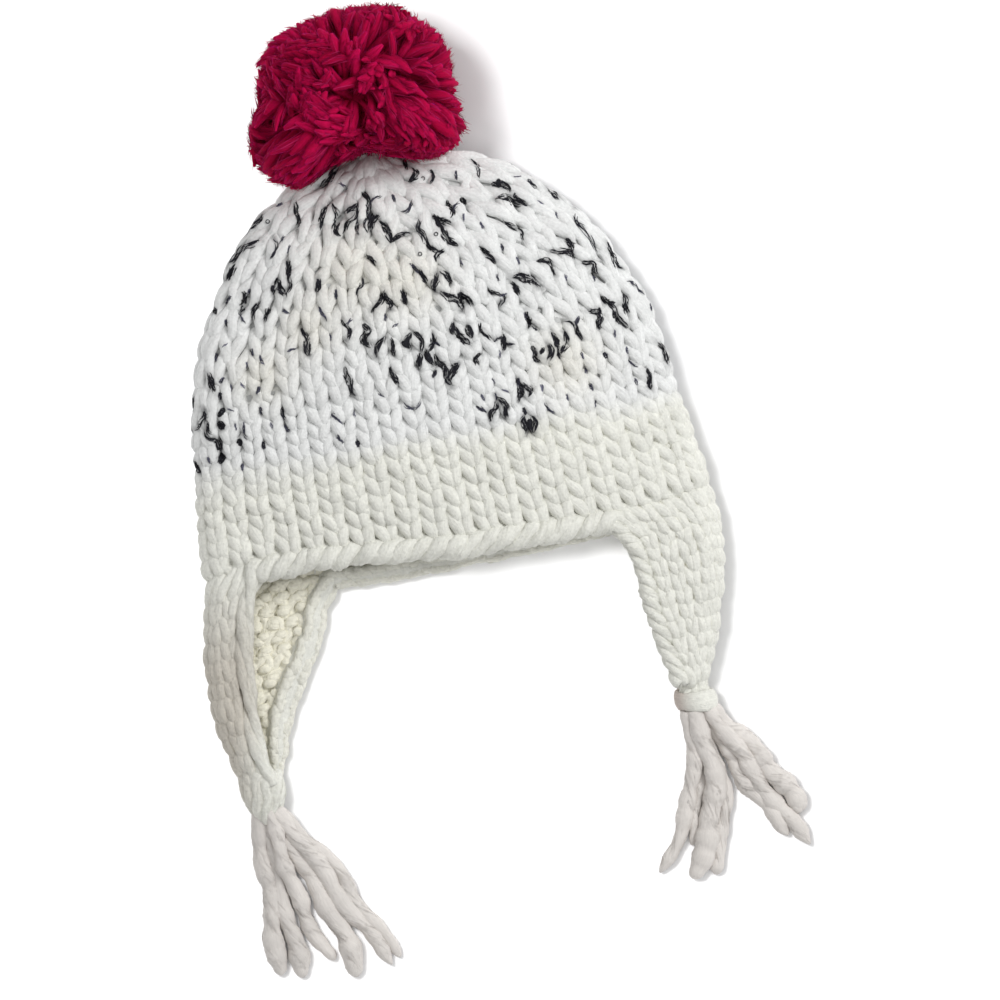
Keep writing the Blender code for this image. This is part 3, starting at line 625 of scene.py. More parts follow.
def wool(name, streak, sheen, rough, bump, nub=1.0, specular=0.25, glow=0.0):
    """Return a wool material that takes its colour from the mesh, with the painted shade and light put there,
    and its fibres from the thread's run.
    """
    material = bpy.data.materials.new(name)
    material.use_nodes = True
    nodes, links = material.node_tree.nodes, material.node_tree.links

    def fill(made, inputs):
        """Give each input of a node its value or its link from another node's output."""
        for key, value in inputs.items():
            if isinstance(value, bpy.types.NodeSocket):
                links.new(value, made.inputs[key])
            else:
                made.inputs[key].default_value = value

    def node(kind, output, inputs, **settings):
        """Add a node and return one of its outputs."""
        made = nodes.new("ShaderNode" + kind)
        for key, value in settings.items():
            setattr(made, key, value)
        fill(made, inputs)
        return made.outputs[output]

    # per-point colour: the yarn's own colours, with painted shade and light in places
    dye_and_painted_light = node("Attribute", "Color", {}, attribute_name="dye_and_painted_light")
    run = node("Attribute", "Vector", {}, attribute_name="thread")
    stretched = node("VectorMath", "Vector", {0: run, 1: FIBRE_STRETCH}, operation="MULTIPLY")
    fibres = node("TexNoise", "Fac", {"Vector": stretched, "Scale": 1.0, "Detail": 4.0, "Roughness": 0.65})
    place = node("TexCoord", "Object", {})
    cloud = node("TexNoise", "Fac", {"Vector": place, "Scale": CLOUD_SCALE, "Detail": 3.0})
    nubs = node("TexNoise", "Fac", {"Vector": place, "Scale": NUB_SCALE, "Detail": 2.0})
    height = node("Math", "Value", {0: nubs, 1: nub, 2: fibres}, operation="MULTIPLY_ADD")
    middle = 0.5 * (1 + nub)
    streaks = node("MapRange", "Result", {"Value": height, "From Min": middle - 0.3, "From Max": middle + 0.3,
                                          "To Min": 1 - streak, "To Max": 1 + streak * 0.6})
    drift = node("MapRange", "Result", {"Value": cloud, "From Min": 0.3, "From Max": 0.7,
                                        "To Min": 0.95, "To Max": 1.03})
    both = node("Math", "Value", {0: streaks, 1: drift}, operation="MULTIPLY")
    tint = node("VectorMath", "Vector", {0: dye_and_painted_light, "Scale": both}, operation="SCALE")
    normal = node("Bump", "Normal", {"Strength": bump, "Distance": 0.8 * MM, "Height": height})
    fill(nodes["Principled BSDF"], {
        "Base Color": tint, "Normal": normal, "Roughness": rough, "Specular IOR Level": specular,
        "Sheen Weight": sheen, "Sheen Roughness": 0.5, "Subsurface Weight": glow,
        "Subsurface Radius": (1.0, 0.6, 0.6), "Subsurface Scale": 3 * MM})
    return material


yarn_wool = wool("white_yarn", 0.12, 0.10, 0.85, 0.6)
roving_wool = wool("tassel_yarn", 0.10, 0.10, 0.80, 0.5, nub=0.25)
crimson_wool = wool("pompom_yarn", 0.28, 0.0, 0.9, 0.5, nub=0.4, specular=0.06, glow=0.4)
fleck_wool = wool("fleck_yarn", 0.30, 0.05, 0.80, 0.6)


# Knitting

class Face:
    """An outer face of the part as a grid of points, read between its points."""

    def __init__(self, rows, closed):
        """Take rows of points, lowest first; a closed face runs all the way round."""
        self.grid = np.array(rows)
        self.closed = closed
        if closed:
            along_u = (np.roll(self.grid, -1, axis=1) - np.roll(self.grid, 1, axis=1)) / 2
        else:
            along_u = np.gradient(self.grid, axis=1)
        self.out = unit(np.cross(along_u, np.gradient(self.grid, axis=0)))

    def read(self, field, u, v):
        """Read a field at shares across and up the face; below the face it goes on straight."""
        rows, columns = field.shape[:2]
        across = np.asarray(u) * columns if self.closed else np.clip(u, 0, 1) * (columns - 1)
        up = np.asarray(v) * (rows - 1)
        i = np.floor(across).astype(int)
        if not self.closed:
            i = np.clip(i, 0, columns - 2)
        j = np.clip(np.floor(up).astype(int), 0, rows - 2)
        s, t = (across - i)[..., None], (up - j)[..., None]
        i0, i1 = i % columns, (i + 1) % columns
        return lerp(lerp(field[j, i0], field[j, i1], s), lerp(field[j + 1, i0], field[j + 1, i1], s), t)

    def normal(self, u, v):
        """Return the outward direction."""
        return unit(self.read(self.out, u, np.clip(v, 0, 1)))

    def at(self, u, v, depth):
        """Return points at a depth below the face."""
        return self.read(self.grid, u, v) - self.normal(u, v) * np.asarray(depth)[..., None]

    def width(self, v):
        """Return the length of a row."""
        shares = np.linspace(0, 1, 129)
        return lengths_along(self.read(self.grid, shares, np.full(129, v)))[-1]


BODY_ROWS = 97
BODY_STEPS = 512
BODY_TOP = 0.985         # share of the tube's height that is knitted
FLAP_ROWS = 61
FLAP_STEPS = 97


def body_face():
    """Return the tube's outer face."""
    rows = []
    for share in np.linspace(0, BODY_TOP, BODY_ROWS):
        loop = body_loop(share)
        rows.append(point_at(loop, np.arange(BODY_STEPS) / BODY_STEPS * lengths_along(loop)[-1]))
    return Face(rows, True)


def flap_face(side):
    """Return a flap's outer face, from its lower end up and from left to right on the front."""
    rows = [flap_row(side, drop, np.linspace(0, 1, FLAP_STEPS)) for drop in np.linspace(1, 0, FLAP_ROWS)]
    return Face([row[::side] for row in rows], False)


ROW_SAMPLES = 24
ROW_WAVES = 5            # slow waves of a row round the tube
LEG_DEPTH = 0.0031       # depth of the yarn's middle at the legs
LOOP_SWAY = 0.0011       # half of how much deeper the loops' heads and feet lie
LOOP_TUCK = 0.0011       # how much deeper a leg's top lies than its bottom


def knit_row(face, centres, v, rise, yarn, lean, reach, overhang, loose, spindle, rng):
    """Return one row of loops: its line, outward directions and radii.

    centres are the wales, v and rise the row's height and its step, yarn the radius. lean slants the
    loops, reach is half a loop's height over the step, overhang how far a loop bulges past its neck over
    the stitch's width, loose how far the yarn wanders, and spindle how much thinner it is at the heads.
    """
    count = len(centres)
    opened = not face.closed
    t = TURN * (np.arange(count * ROW_SAMPLES + opened) / ROW_SAMPLES - 0.5 * opened)

    def soft(amount, size=1):
        """Return smooth random drift along the row."""
        knots = rng.normal(0, amount, (count * 2 + 2, size))
        if face.closed:
            knots[-2:] = knots[:2]
        at = (t - t[0]) / math.pi
        i = np.floor(at).astype(int)
        s = (at - i)[:, None]
        return lerp(knots[i], knots[np.minimum(i + 1, len(knots) - 1)], s * s * (3 - 2 * s))

    y = np.cos(t) * reach * rise
    q = t / TURN + overhang * np.sin(2 * t)
    if face.closed:
        centres = np.concatenate([centres[-2:] - 1, centres, centres[:2] + 1])
        u = np.interp(q, np.arange(-2, count + 2), centres)
    else:
        gap = centres[1] - centres[0] if count > 1 else 1.0
        u = np.interp(q, np.arange(-1, count + 1), [centres[0] - gap, *centres, centres[-1] + gap])
    drift = soft(loose, 3)
    above, below = (face.read(face.grid, u, np.full_like(u, v + step)) for step in (rise / 2, -rise / 2))
    tall = np.linalg.norm(above - below, axis=-1)
    u = u - (lean * y / rise * tall + drift[:, 0]) / face.width(v)
    tuck = 2 * LOOP_TUCK * np.abs(np.sin(t)) * np.cos(t)
    depth = LEG_DEPTH + LOOP_SWAY * (1 + np.cos(2 * t)) + tuck + drift[:, 1] * 0.5
    wave = 0.10 * rise * np.sin(TURN * u * ROW_WAVES + v * 40) * face.closed
    height = v + y + wave + drift[:, 2] / tall * rise
    radius = yarn * (1 - spindle * np.cos(2 * t)) * (1 + soft(0.08)[:, 0])
    return face.at(u, height, depth), face.normal(u, height), radius * 1.06, radius * 0.94


def merge_wales(centres, count):
    """Return fewer wales, by merging neighbours and easing the rest towards even steps."""
    centres = list(centres)
    while len(centres) > count:
        gaps = np.diff(centres + [centres[0] + 1])
        crowd = gaps + 0.3 / len(centres) * np.sin(np.arange(len(gaps)) * GOLDEN_ANGLE + len(centres))
        i = int(np.argmin(crowd))
        j = (i + 1) % len(centres)
        middle = centres[i] + gaps[i] / 2
        centres = sorted([c for k, c in enumerate(centres) if k not in (i, j)] + [middle % 1.0])
    centres = np.array(centres)
    even = np.arange(count) / count
    even = even + np.mean(((centres - even + 0.5) % 1) - 0.5)
    return centres + 0.35 * (((even - centres + 0.5) % 1) - 0.5)


# How the knitting changes up the tube: shares of its height, and the measure there. rise is a row's
# height, gauge a stitch's width, and yarn and loose are lengths too, all in millimetres.
PROFILES = {
    "rise": ((0, 0.25, 0.5, 0.72, 0.85, 1.0), (7.2, 7.4, 8.0, 9.2, 11.0, 11.5)),
    "gauge": ((0, 0.62, 0.74, 0.86, 1.0), (10.7, 10.4, 12.0, 13.5, 13.0)),
    "yarn": ((0, 0.22, 0.32, 0.6, 0.85), (2.85, 2.75, 2.3, 2.35, 2.8)),
    "loose": ((0, 0.22, 0.35, 1.0), (0.50, 0.50, 0.60, 0.75)),
    "lean": ((0, 0.2, 0.35, 0.6), (0.20, 0.18, 0.10, 0.0)),
    "overhang": ((0, 0.3, 0.6, 0.8), (0.21, 0.24, 0.26, 0.27)),
    "spindle": ((0, 0.22, 0.35), (0.05, 0.08, 0.21)),
}
RIM_WALES = 44
FEWEST_WALES = 14
FIRST_ROW = 0.016
LAST_ROW = 0.968
BODY_REACH = 0.90


def profile(name, share):
    """Return one measure of the knitting at a share of the tube's height."""
    return np.interp(share, *PROFILES[name])


def body_plan(face):
    """Return the rows of the tube as heights in shares, their rises and their wales."""
    rows = []
    v = FIRST_ROW
    centres = (np.arange(RIM_WALES) + 0.25) / RIM_WALES
    while v * BODY_TOP < LAST_ROW:
        step = profile("rise", v * BODY_TOP) * MM / ((APEX_Y + RIM_DROP) * BODY_TOP)
        v += step / 2
        gauge = profile("gauge", v * BODY_TOP) * MM
        count = int(np.clip(round(face.width(v) / gauge), FEWEST_WALES, len(centres)))
        centres = merge_wales(centres, count)
        rows.append((v, step, centres))
        v += step / 2
    return rows


def knit_body(face, plan, rng):
    """Return the tube's rows as swept lines, lowest first, each after its share of the height."""
    rows = []
    for v, step, centres in plan:
        share = v * BODY_TOP
        yarn, loose = profile("yarn", share) * MM, profile("loose", share) * MM
        lean, overhang, spindle = (profile(name, share) for name in ("lean", "overhang", "spindle"))
        rows.append((share,) + knit_row(face, centres, v, step, yarn, lean, BODY_REACH, overhang, loose,
                                        spindle, rng))
    return rows


rng = np.random.default_rng(11)
body = body_face()
plan = body_plan(body)
body_rows = knit_body(body, plan, rng)

# Black flecks: strokes charted, each a width and then x and y of its points, in tenths of a millimetre

FRONT_FLECKS = (
    (25, -188, 1429, -254, 1371, -288, 1347), (7, -248, 1363, -196, 1360, -165, 1349, -174, 1311),
    (19, -399, 1326, -419, 1257, -448, 1217), (18, -259, 1274, -294, 1231, -339, 1186),
    (22, -239, 1280, -265, 1231, -268, 1174, -248, 1134),
    (20, -225, 1134, -185, 1180, -151, 1231, -128, 1254), (16, -202, 1214, -168, 1231, -134, 1249),
    (22, -105, 1311, -102, 1271, -114, 1214, -119, 1150), (10, -31, 1271, -71, 1251, -99, 1231),
    (12, -128, 1249, -125, 1180, -139, 1130), (12, -156, 1197, -165, 1146, -159, 1106),
    (24, -59, 1180, -88, 1163, -116, 1123), (23, -59, 1169, -48, 1129, -39, 1060),
    (20, -36, 1060, -2, 1071, 55, 1089), (13, -139, 1046, -116, 1020, -96, 980),
    (18, -376, 969, -391, 911), (8, -2, 1271, 4, 1231), (10, 32, 1180, 78, 1200, 109, 1229),
    (14, 69, 1414, 84, 1363), (20, 126, 1380, 129, 1340, 104, 1303), (12, 189, 1349, 201, 1317, 195, 1283),
    (15, 238, 1203, 249, 1157, 246, 1117), (20, 169, 1151, 192, 1123, 244, 1111),
    (23, 181, 1100, 209, 1049, 249, 991), (22, 89, 1146, 98, 1089, 118, 1031, 152, 974),
    (14, 181, 997, 152, 969, 152, 934), (16, 175, 1146, 172, 1089), (8, 21, 940, 78, 906),
    (19, 326, 963, 358, 929, 389, 877), (10, 301, 1323, 312, 1289), (12, 361, 1357, 385, 1315, 409, 1274),
    (12, -182, 936, -211, 886, -218, 843), (12, -534, 1183, -542, 1120, -568, 1089),
    (10, -499, 1179, -501, 1164), (8, -494, 1114, -468, 1123),
    (22, -488, 1074, -505, 1011, -511, 960, -525, 914), (14, -476, 1051, -505, 989),
    (24, -534, 1006, -542, 966, -528, 926), (16, -585, 983, -596, 943),
    (25, -605, 1166, -659, 1163, -705, 1126, -751, 1097), (22, -716, 1091, -751, 1063, -762, 1034),
    (14, -779, 1069, -796, 1034, -819, 1017), (14, -705, 1189, -745, 1149, -762, 1114),
    (16, -556, 1303, -568, 1263, -608, 1249, -648, 1211), (8, -468, 1314, -499, 1303),
    (20, -728, 983, -736, 926, -751, 897), (8, -751, 897, -734, 834), (10, -768, 960, -802, 937),
    (8, -674, 977, -699, 949), (18, -842, 937, -842, 909), (16, -642, 914, -671, 897, -711, 854),
    (16, -619, 897, -631, 869, -648, 829), (12, -796, 874, -794, 846), (9, -556, 869, -548, 840),
    (8, -396, 851, -385, 823), (22, 444, 1229, 484, 1220, 524, 1186), (14, 478, 1254, 484, 1220),
    (20, 552, 1183, 552, 1157, 581, 1109), (20, 449, 1160, 495, 1149, 552, 1114),
    (15, 444, 1049, 489, 1026, 541, 969), (8, 552, 1231, 581, 1229), (22, 611, 1264, 623, 1247),
    (12, 598, 1220, 638, 1180), (17, 661, 1197, 678, 1157, 709, 1103), (12, 678, 1214, 655, 1209),
    (7, 635, 1117, 646, 1106), (8, 681, 1054, 686, 1031),
    (12, 772, 1083, 761, 1009, 798, 934, 832, 843, 838, 803), (8, 849, 971, 864, 949),
    (20, 724, 940, 738, 889, 744, 871), (18, 638, 906, 695, 889, 726, 831),
    (18, 575, 860, 615, 843, 649, 791), (29, 461, 820, 506, 797, 558, 734), (20, 469, 797, 472, 729),
    (14, 352, 791, 389, 746, 392, 680), (10, 412, 757, 392, 740), (10, 481, 879, 489, 867),
    (12, 444, 963, 449, 943), (10, 364, 1071, 369, 1054), (16, 289, 1186, 318, 1163),
    (10, 289, 1186, 255, 1134), (8, 291, 1119, 294, 1104), (18, 881, 889, 889, 826, 912, 769, 944, 749),
    (20, 778, 831, 826, 797, 846, 726), (10, 801, 753, 804, 735), (8, 692, 776, 694, 761),
    (10, -296, 910, -296, 864), (8, -396, 850, -371, 779), (16, -300, 786, -282, 743, -289, 671),
    (10, -268, 761, -285, 743), (25, -500, 771, -475, 714, -479, 643), (8, -389, 716, -384, 693),
    (24, -211, 743, -196, 700, -218, 664, -196, 636), (22, -86, 857, -111, 821, -168, 764),
    (20, -86, 857, -82, 807, -93, 771), (18, -32, 850, -18, 821, -14, 782), (8, -136, 757, -125, 729),
    (8, -96, 693, -75, 707), (19, -136, 668, -154, 636, -193, 579), (14, -118, 654, -104, 614, -89, 561),
    (22, -32, 664, -57, 629, -64, 586), (20, -68, 629, -50, 593), (16, -25, 650, 7, 607, 14, 564),
    (16, 46, 643, 43, 593, 25, 571), (20, -4, 564, 0, 493), (20, 25, 571, 25, 500),
    (25, 54, 543, 82, 486, 121, 407), (25, 139, 500, 111, 464, 114, 421), (10, 82, 621, 107, 593),
    (16, 146, 671, 143, 614), (20, 164, 650, 204, 593, 204, 557), (22, 232, 643, 214, 586),
    (13, 275, 643, 296, 614, 307, 557), (20, 350, 579, 339, 507), (12, 318, 557, 346, 571, 411, 518),
    (14, 254, 529, 218, 500, 218, 457), (8, 325, 496, 329, 480), (20, -336, 571, -329, 514, -296, 436),
    (16, -132, 529, -132, 479, -111, 443), (12, 43, 436, 68, 464), (10, -118, 368, -89, 336, -57, 368),
    (7, -436, 371, -393, 318), (7, -350, 362, -343, 346), (7, -211, 421, -200, 407),
    (20, 379, 343, 375, 309, 362, 282), (17, 395, 370, 423, 336, 436, 282), (10, 379, 343, 395, 377),
    (10, 282, 323, 285, 300), (17, 82, 924, 89, 857), (10, 18, 943, 75, 914), (23, 121, 893, 125, 814),
    (18, 146, 900, 171, 829), (26, 139, 814, 189, 757, 193, 707), (20, 211, 796, 200, 757),
    (16, 232, 793, 261, 764, 264, 721), (10, 382, 829, 387, 813), (8, 236, 921, 254, 904),
    (10, 463, 648, 460, 624), (19, 507, 648, 494, 614, 474, 587), (14, 501, 587, 507, 563),
    (16, 507, 499, 501, 465, 484, 445, 514, 431), (19, 552, 499, 555, 458, 528, 431),
    (14, 535, 485, 514, 458), (16, 568, 546, 585, 506, 619, 431), (18, 582, 519, 582, 472),
    (19, 626, 540, 623, 479, 619, 438), (16, 646, 594, 687, 557, 697, 519, 708, 479),
    (10, 701, 594, 694, 553), (20, 758, 601, 792, 584, 809, 519), (14, 799, 614, 792, 580),
    (15, 826, 662, 867, 628, 881, 614), (23, 860, 635, 884, 574, 911, 526, 914, 499),
    (20, 928, 655, 921, 614, 928, 560), (10, 938, 689, 976, 662, 1003, 621), (16, 1020, 682, 1023, 662),
    (14, 1037, 641, 1037, 587), (10, 1016, 582, 1016, 564), (8, 674, 431, 674, 404),
    (10, 680, 358, 682, 342), (12, 772, 404, 786, 377), (9, 860, 494, 862, 477), (10, 874, 413, 874, 393),
    (9, 881, 350, 925, 316), (20, 969, 309, 959, 282, 955, 214), (18, 1013, 407, 1037, 370, 1037, 309),
    (8, 1064, 418, 1074, 363), (8, 487, 318, 487, 304), (8, 497, 248, 545, 194), (12, 690, 278, 692, 264),
    (8, 697, 214, 691, 194), (9, 894, 270, 892, 254), (9, 589, 257, 587, 244),
    (21, 280, 299, 260, 248, 246, 207), (20, 280, 309, 314, 282, 334, 214), (10, 189, 282, 233, 248),
    (16, 392, 234, 395, 214), (22, 379, 207, 379, 160, 368, 136), (28, 412, 194, 423, 160, 436, 129),
    (20, 409, 187, 409, 146), (9, 226, 325, 228, 311), (7, 284, 390, 284, 377), (7, 321, 329, 330, 316),
    (21, -924, 660, -921, 619, -927, 565), (12, -883, 633, -904, 619), (15, -917, 558, -917, 538),
    (20, -1019, 579, -1029, 545, -1046, 504), (15, -965, 504, -978, 463, -1029, 426, -1060, 406),
    (24, -971, 497, -971, 443, -978, 389, -958, 334, -941, 294), (23, -941, 307, -931, 280, -955, 246),
    (16, -883, 480, -904, 457, -924, 443), (23, -917, 450, -900, 416, -917, 389),
    (8, -866, 497, -853, 477), (8, -866, 411, -866, 393), (16, -866, 348, -866, 314),
    (10, -812, 416, -812, 375, -809, 328), (12, -744, 463, -741, 436), (14, -731, 551, -734, 528),
    (12, -639, 450, -632, 416, -622, 392), (10, -642, 375, -639, 348, -625, 331),
    (16, -754, 307, -754, 287), (10, -999, 289, -996, 273), (16, -1056, 294, -1053, 267, -1039, 243),
    (12, -707, 721, -707, 697), (7, -700, 694, -676, 646), (8, -537, 697, -571, 674),
    (12, -897, 728, -890, 708), (7, -822, 762, -843, 741), (8, -849, 582, -848, 567),
    (8, -775, 662, -774, 648), (8, -795, 584, -795, 568), (8, -700, 384, -699, 368),
    (11, -870, 229, -869, 213), (8, -439, 375, -422, 345), (9, -415, 287, -395, 246),
    (12, -344, 239, -344, 209),
)
# Small rings: x and y in millimetres
FLECK_RINGS = ((15.5, 131.7), (16.6, 106.3), (35.5, 95.1), (-55.4, 126.6), (75.2, 90.6), (8, 99))
FLECK_STEPS = 5
KNIT_SIDES = 8
SHORTEST_STROKE = 3.0    # shorter strokes are drawn out to STRETCHED, both in millimetres
STRETCHED = 3.4
SETTLE_REACH = 2.2 * MM  # how far a stroke may move sideways to find a valley
DYED_RADIUS = 2.3 * MM   # about where the yarn's outside lies, for its dye
CAST_HEIGHT = 0.2        # from where the filaments are dropped on the knit


def beside(path):
    """Return the directions square to a path in plan."""
    ahead = unit(np.gradient(path, axis=0) + 1e-9)
    return np.stack([-ahead[:, 1], ahead[:, 0]], axis=1)


def settle(stroke, sign, points, radii):
    """Return a stroke as closer points, eased sideways into the valleys between the stitches."""
    bend = rounded(stroke, 6) if len(stroke) > 2 else stroke
    total = lengths_along(bend)[-1]
    path = point_at(bend, np.linspace(0, total, max(3, int(total / (1.2 * MM)))))
    low, high = path.min(axis=0) - 6 * MM, path.max(axis=0) + 6 * MM
    near = np.all((points[:, :2] > low) & (points[:, :2] < high), axis=1)
    if not near.any():
        return path
    spots, heights, radii = points[near, :2], points[near, 2] * sign, radii[near]
    side = beside(path)
    shift = np.linspace(-SETTLE_REACH, SETTLE_REACH, 11)
    tried = path[:, None] + side[:, None] * shift[:, None]
    gap = np.sum((tried[:, :, None] - spots) ** 2, axis=-1)
    height = heights + np.sqrt(np.maximum(radii ** 2 - gap, 0))
    height = np.where(gap < radii ** 2, height, heights.min()).max(axis=-1)
    chosen = shift[np.argmin(height + 0.25 * np.abs(shift), axis=1)]
    for _ in range(2):
        chosen = np.convolve(np.pad(chosen, 1, mode="edge"), [0.25, 0.5, 0.25], mode="valid")
    return path + side * chosen[:, None]


def fleck_strokes(rng, points, outward, radii):
    """Return the strokes of both faces: 1 for the front or -1, the width and the points in metres."""
    strokes = []
    for sign in (1, -1):
        facing = outward[:, 2] * sign > 0
        for row in FRONT_FLECKS:
            width, *spots = (value / 10 for value in row)
            stroke = np.array(spots).reshape(-1, 2)
            middle = stroke.mean(axis=0)
            total = lengths_along(stroke)[-1]
            if total < SHORTEST_STROKE:
                stroke = middle + (stroke - middle) * STRETCHED / total
                width = width * 0.75
            if sign < 0:
                turn = rng.uniform(-0.5, 0.5)
                spin = np.array([[math.cos(turn), math.sin(turn)], [-math.sin(turn), math.cos(turn)]])
                stroke = (stroke - middle) @ spin + middle * [-0.94, 1] + rng.uniform(-8, 8, 2)
            strokes.append((sign, width * MM, settle(stroke * MM, sign, points[facing], radii[facing])))
    return strokes


def stroke_distance(points, stroke):
    """Return how far some points lie from a stroke, in plan."""
    far = np.full(points.shape[:-1], 1.0)
    for a, b in zip(stroke[:-1], stroke[1:]):
        along = b - a
        share = np.clip(((points - a) @ along) / (along @ along), 0, 1)
        far = np.minimum(far, np.linalg.norm(points - a - share[..., None] * along, axis=-1))
    return far


def dyed_yarn(line, up, strokes, rng):
    """Return how dark the black flecks make a row, for each of its samples and sides."""
    dark = np.zeros((len(line), KNIT_SIDES))
    aside, over = frames(line, up, True)
    angle = TURN * np.arange(KNIT_SIDES) / KNIT_SIDES
    rings = line[:, None] + DYED_RADIUS * round_tube(aside[:, None], over[:, None], angle)
    for sign, width, stroke in strokes:
        low, high = stroke.min(axis=0) - 2 * width, stroke.max(axis=0) + 2 * width
        near = np.all((line[:, :2] > low - 3 * MM) & (line[:, :2] < high + 3 * MM), axis=1)
        k = np.nonzero(near & (up[:, 2] * sign > 0))[0]
        if len(k):
            shade = np.exp(-(stroke_distance(rings[k][..., :2], stroke) / (0.62 * width)) ** 2)
            shade *= rng.uniform(0.30, 1.0, shade.shape) * min(0.95, 0.30 + 0.40 * width / MM)
            dark[k] = np.maximum(dark[k], shade)
    return dark


def drape(points, sign, trees):
    """Lay points (lines, steps, 3) on the knit from above or below, and leave out lines that miss it."""
    flat = points.reshape(-1, 3)
    for k, (x, y, _) in enumerate(flat):
        spots = [tree.ray_cast((x, y, CAST_HEIGHT * sign), (0, 0, -sign))[0] for tree in trees]
        heights = [spot.z * sign for spot in spots if spot is not None]
        flat[k, 2] = max(heights) * sign if heights else np.nan
    kept = ~np.isnan(points[..., 2]).any(axis=1)
    points = points[kept]
    points[..., 2] += sign * 0.30 * MM
    return points, kept


def filament(stroke, width, rng):
    """Return one filament of a stroke, at no height yet."""
    total = lengths_along(stroke)[-1]
    reach = np.clip(rng.uniform(2.2, 5.5) * MM / total, 0.25, 1.05)
    low = rng.uniform(-0.04, 1.04 - reach)
    share = np.linspace(low, low + reach, FLECK_STEPS)
    path = point_at(stroke, np.clip(share, 0, 1) * total)
    belly = np.sqrt(np.clip(1 - (2 * share - 1) ** 2, 0.04, 1))
    offset = rng.uniform(-0.65, 0.65) * width * belly
    offset = offset + rng.normal(0, 0.14) * (share - share.mean()) * total
    offset = offset + 0.2 * MM * np.sin(share * rng.uniform(6, 18) + rng.uniform(0, 6))
    return np.concatenate([path + beside(path) * offset[:, None], np.zeros((FLECK_STEPS, 1))], axis=1)


def make_flecks(strokes, pieces, rng):
    """Lay the filaments of the dark flecks, and a few small rings, on the knit."""
    graph = bpy.context.evaluated_depsgraph_get()
    trees = [BVHTree.FromObject(piece, graph) for piece in pieces]
    threads = Threads()
    for wanted in (1, -1):
        lines, widths, pale = [], [], []
        for sign, width, stroke in strokes:
            if sign != wanted:
                continue
            for _ in range(max(2, int(14.0 * (width / MM - 0.35)))):
                lines.append(filament(stroke, width, rng))
                widths.append(rng.uniform(0.26, 0.62) * MM)
                pale.append(np.interp(width / MM, [0.6, 1.3], [9.0, 1.0]))
        lines, kept = drape(np.array(lines), wanted, trees)
        flat = unit(np.cross(np.gradient(lines, axis=1), [0.0, 0.0, 1.0]) + 1e-9)
        tone = BLACK * rng.uniform(0.45, 2.0, (len(lines), 1, 1)) * np.array(pale)[kept][:, None, None]
        threads.ribbons(lines, flat, np.array(widths)[kept], tone)
    turn = np.linspace(0, TURN, 14, endpoint=False)
    circle = 0.8 * MM * np.stack([np.cos(turn), np.sin(turn), 0 * turn], axis=1)
    size = np.full(14, 0.2 * MM)
    for x, y in FLECK_RINGS:
        spot = trees[-1].ray_cast((x * MM, y * MM, CAST_HEIGHT), (0, 0, -1))[0]
        threads.add(np.array(spot) + [0, 0, 0.3 * MM] + circle, np.tile([0.0, 0.0, 1.0], (14, 1)), size, size,
                    BLACK * 1.6, sides=5, closed=True)
    threads.build("black_flecks", fleck_wool, "white_wool")


# The tube's pieces: name, shares of the height, slot and the node that each stands for
BODY_PIECES = (("band_knit", 0.0, 0.243, "ivory_wool", "band"),
               ("crown_knit_lower", 0.243, 0.60, "white_wool", "crown"),
               ("crown_knit_upper", 0.60, 1.0, "white_wool", "crown"))


def make_body(rng):
    """Make the tube's knitted pieces and the flecks on them."""
    strokes = fleck_strokes(rng, *(np.concatenate([row[i] for row in body_rows]) for i in (1, 2, 3)))
    built = {name: Threads() for name, *_ in BODY_PIECES}
    for k, (share, line, up, wide, thick) in enumerate(body_rows):
        threads = next(built[name] for name, low, high, *_ in BODY_PIECES if low <= share < high)
        plain = wool_colour(line)
        colour = plain * (1 + 0.03 * wander(line, 0.008, 5)[:, None])
        colour = lerp(colour[:, None], BLACK * 1.3, dyed_yarn(line, up, strokes, rng)[..., None])
        threads.add(line, up, wide, thick, colour, sides=KNIT_SIDES, closed=True, grain=0.05, seed=100 + k)
        threads.fuzz(plain * 1.03, len(line) // 4, 3.2, rng)
    pieces = [built[name].build(name, yarn_wool, slot, (node,)) for name, _, _, slot, node in BODY_PIECES]
    make_flecks(strokes, pieces, rng)


make_body(np.random.default_rng(77))

PURL_SIZE = 2.2 * MM
PURL_ROW = 6.2 * MM
PURL_WALE = 8.4 * MM


def purl_bumps(threads, face, centres, v, rise, depth, rng, steps=7, sides=8):
    """Lay the short bumps that the wall's inner side shows."""
    gap = np.mean(np.diff(centres)) if len(centres) > 1 else 1.0
    share = np.linspace(-1, 1, steps)
    for half in (0, 1):
        across = centres + half * gap / 2
        across = across[(across < 1.0) | face.closed]
        n = len(across)
        u = across[:, None] + share[None] * gap * 0.31 + rng.normal(0, 0.018 * gap, (n, 1))
        arch = (0.13 if half else -0.13) * (1 - share ** 2)
        height = v + rise * (0.5 * half + arch[None] + rng.normal(0, 0.03, (n, 1)))
        deep = depth - 0.7 * MM * (share[None] ** 2) + rng.normal(0, 0.12 * MM, (n, 1))
        size = PURL_SIZE * np.sqrt(1 - 0.55 * share[None] ** 2) * rng.uniform(0.92, 1.08, (n, 1))
        # painted light: the bumps take the inner side's brighter, warmer cream
        threads.add(face.at(u, height, deep), face.normal(u, height), size * 1.06, size * 0.72, INNER_WARM_LIT,
                    sides=sides, grain=0.05, seed=9)


def backing(threads, face, low, high, depth, columns, rows, colour, seed):
    """Lay a lumpy layer inside the wall, so that the gaps between stitches aren't see-through."""
    u, v = np.meshgrid(np.linspace(0, 1, columns), np.linspace(low, high, rows))
    lumps = 0.5 * MM * wander(face.at(u, v, 0 * u), 0.004, seed)
    threads.sheet(face.at(u, v, depth + lumps), colour)


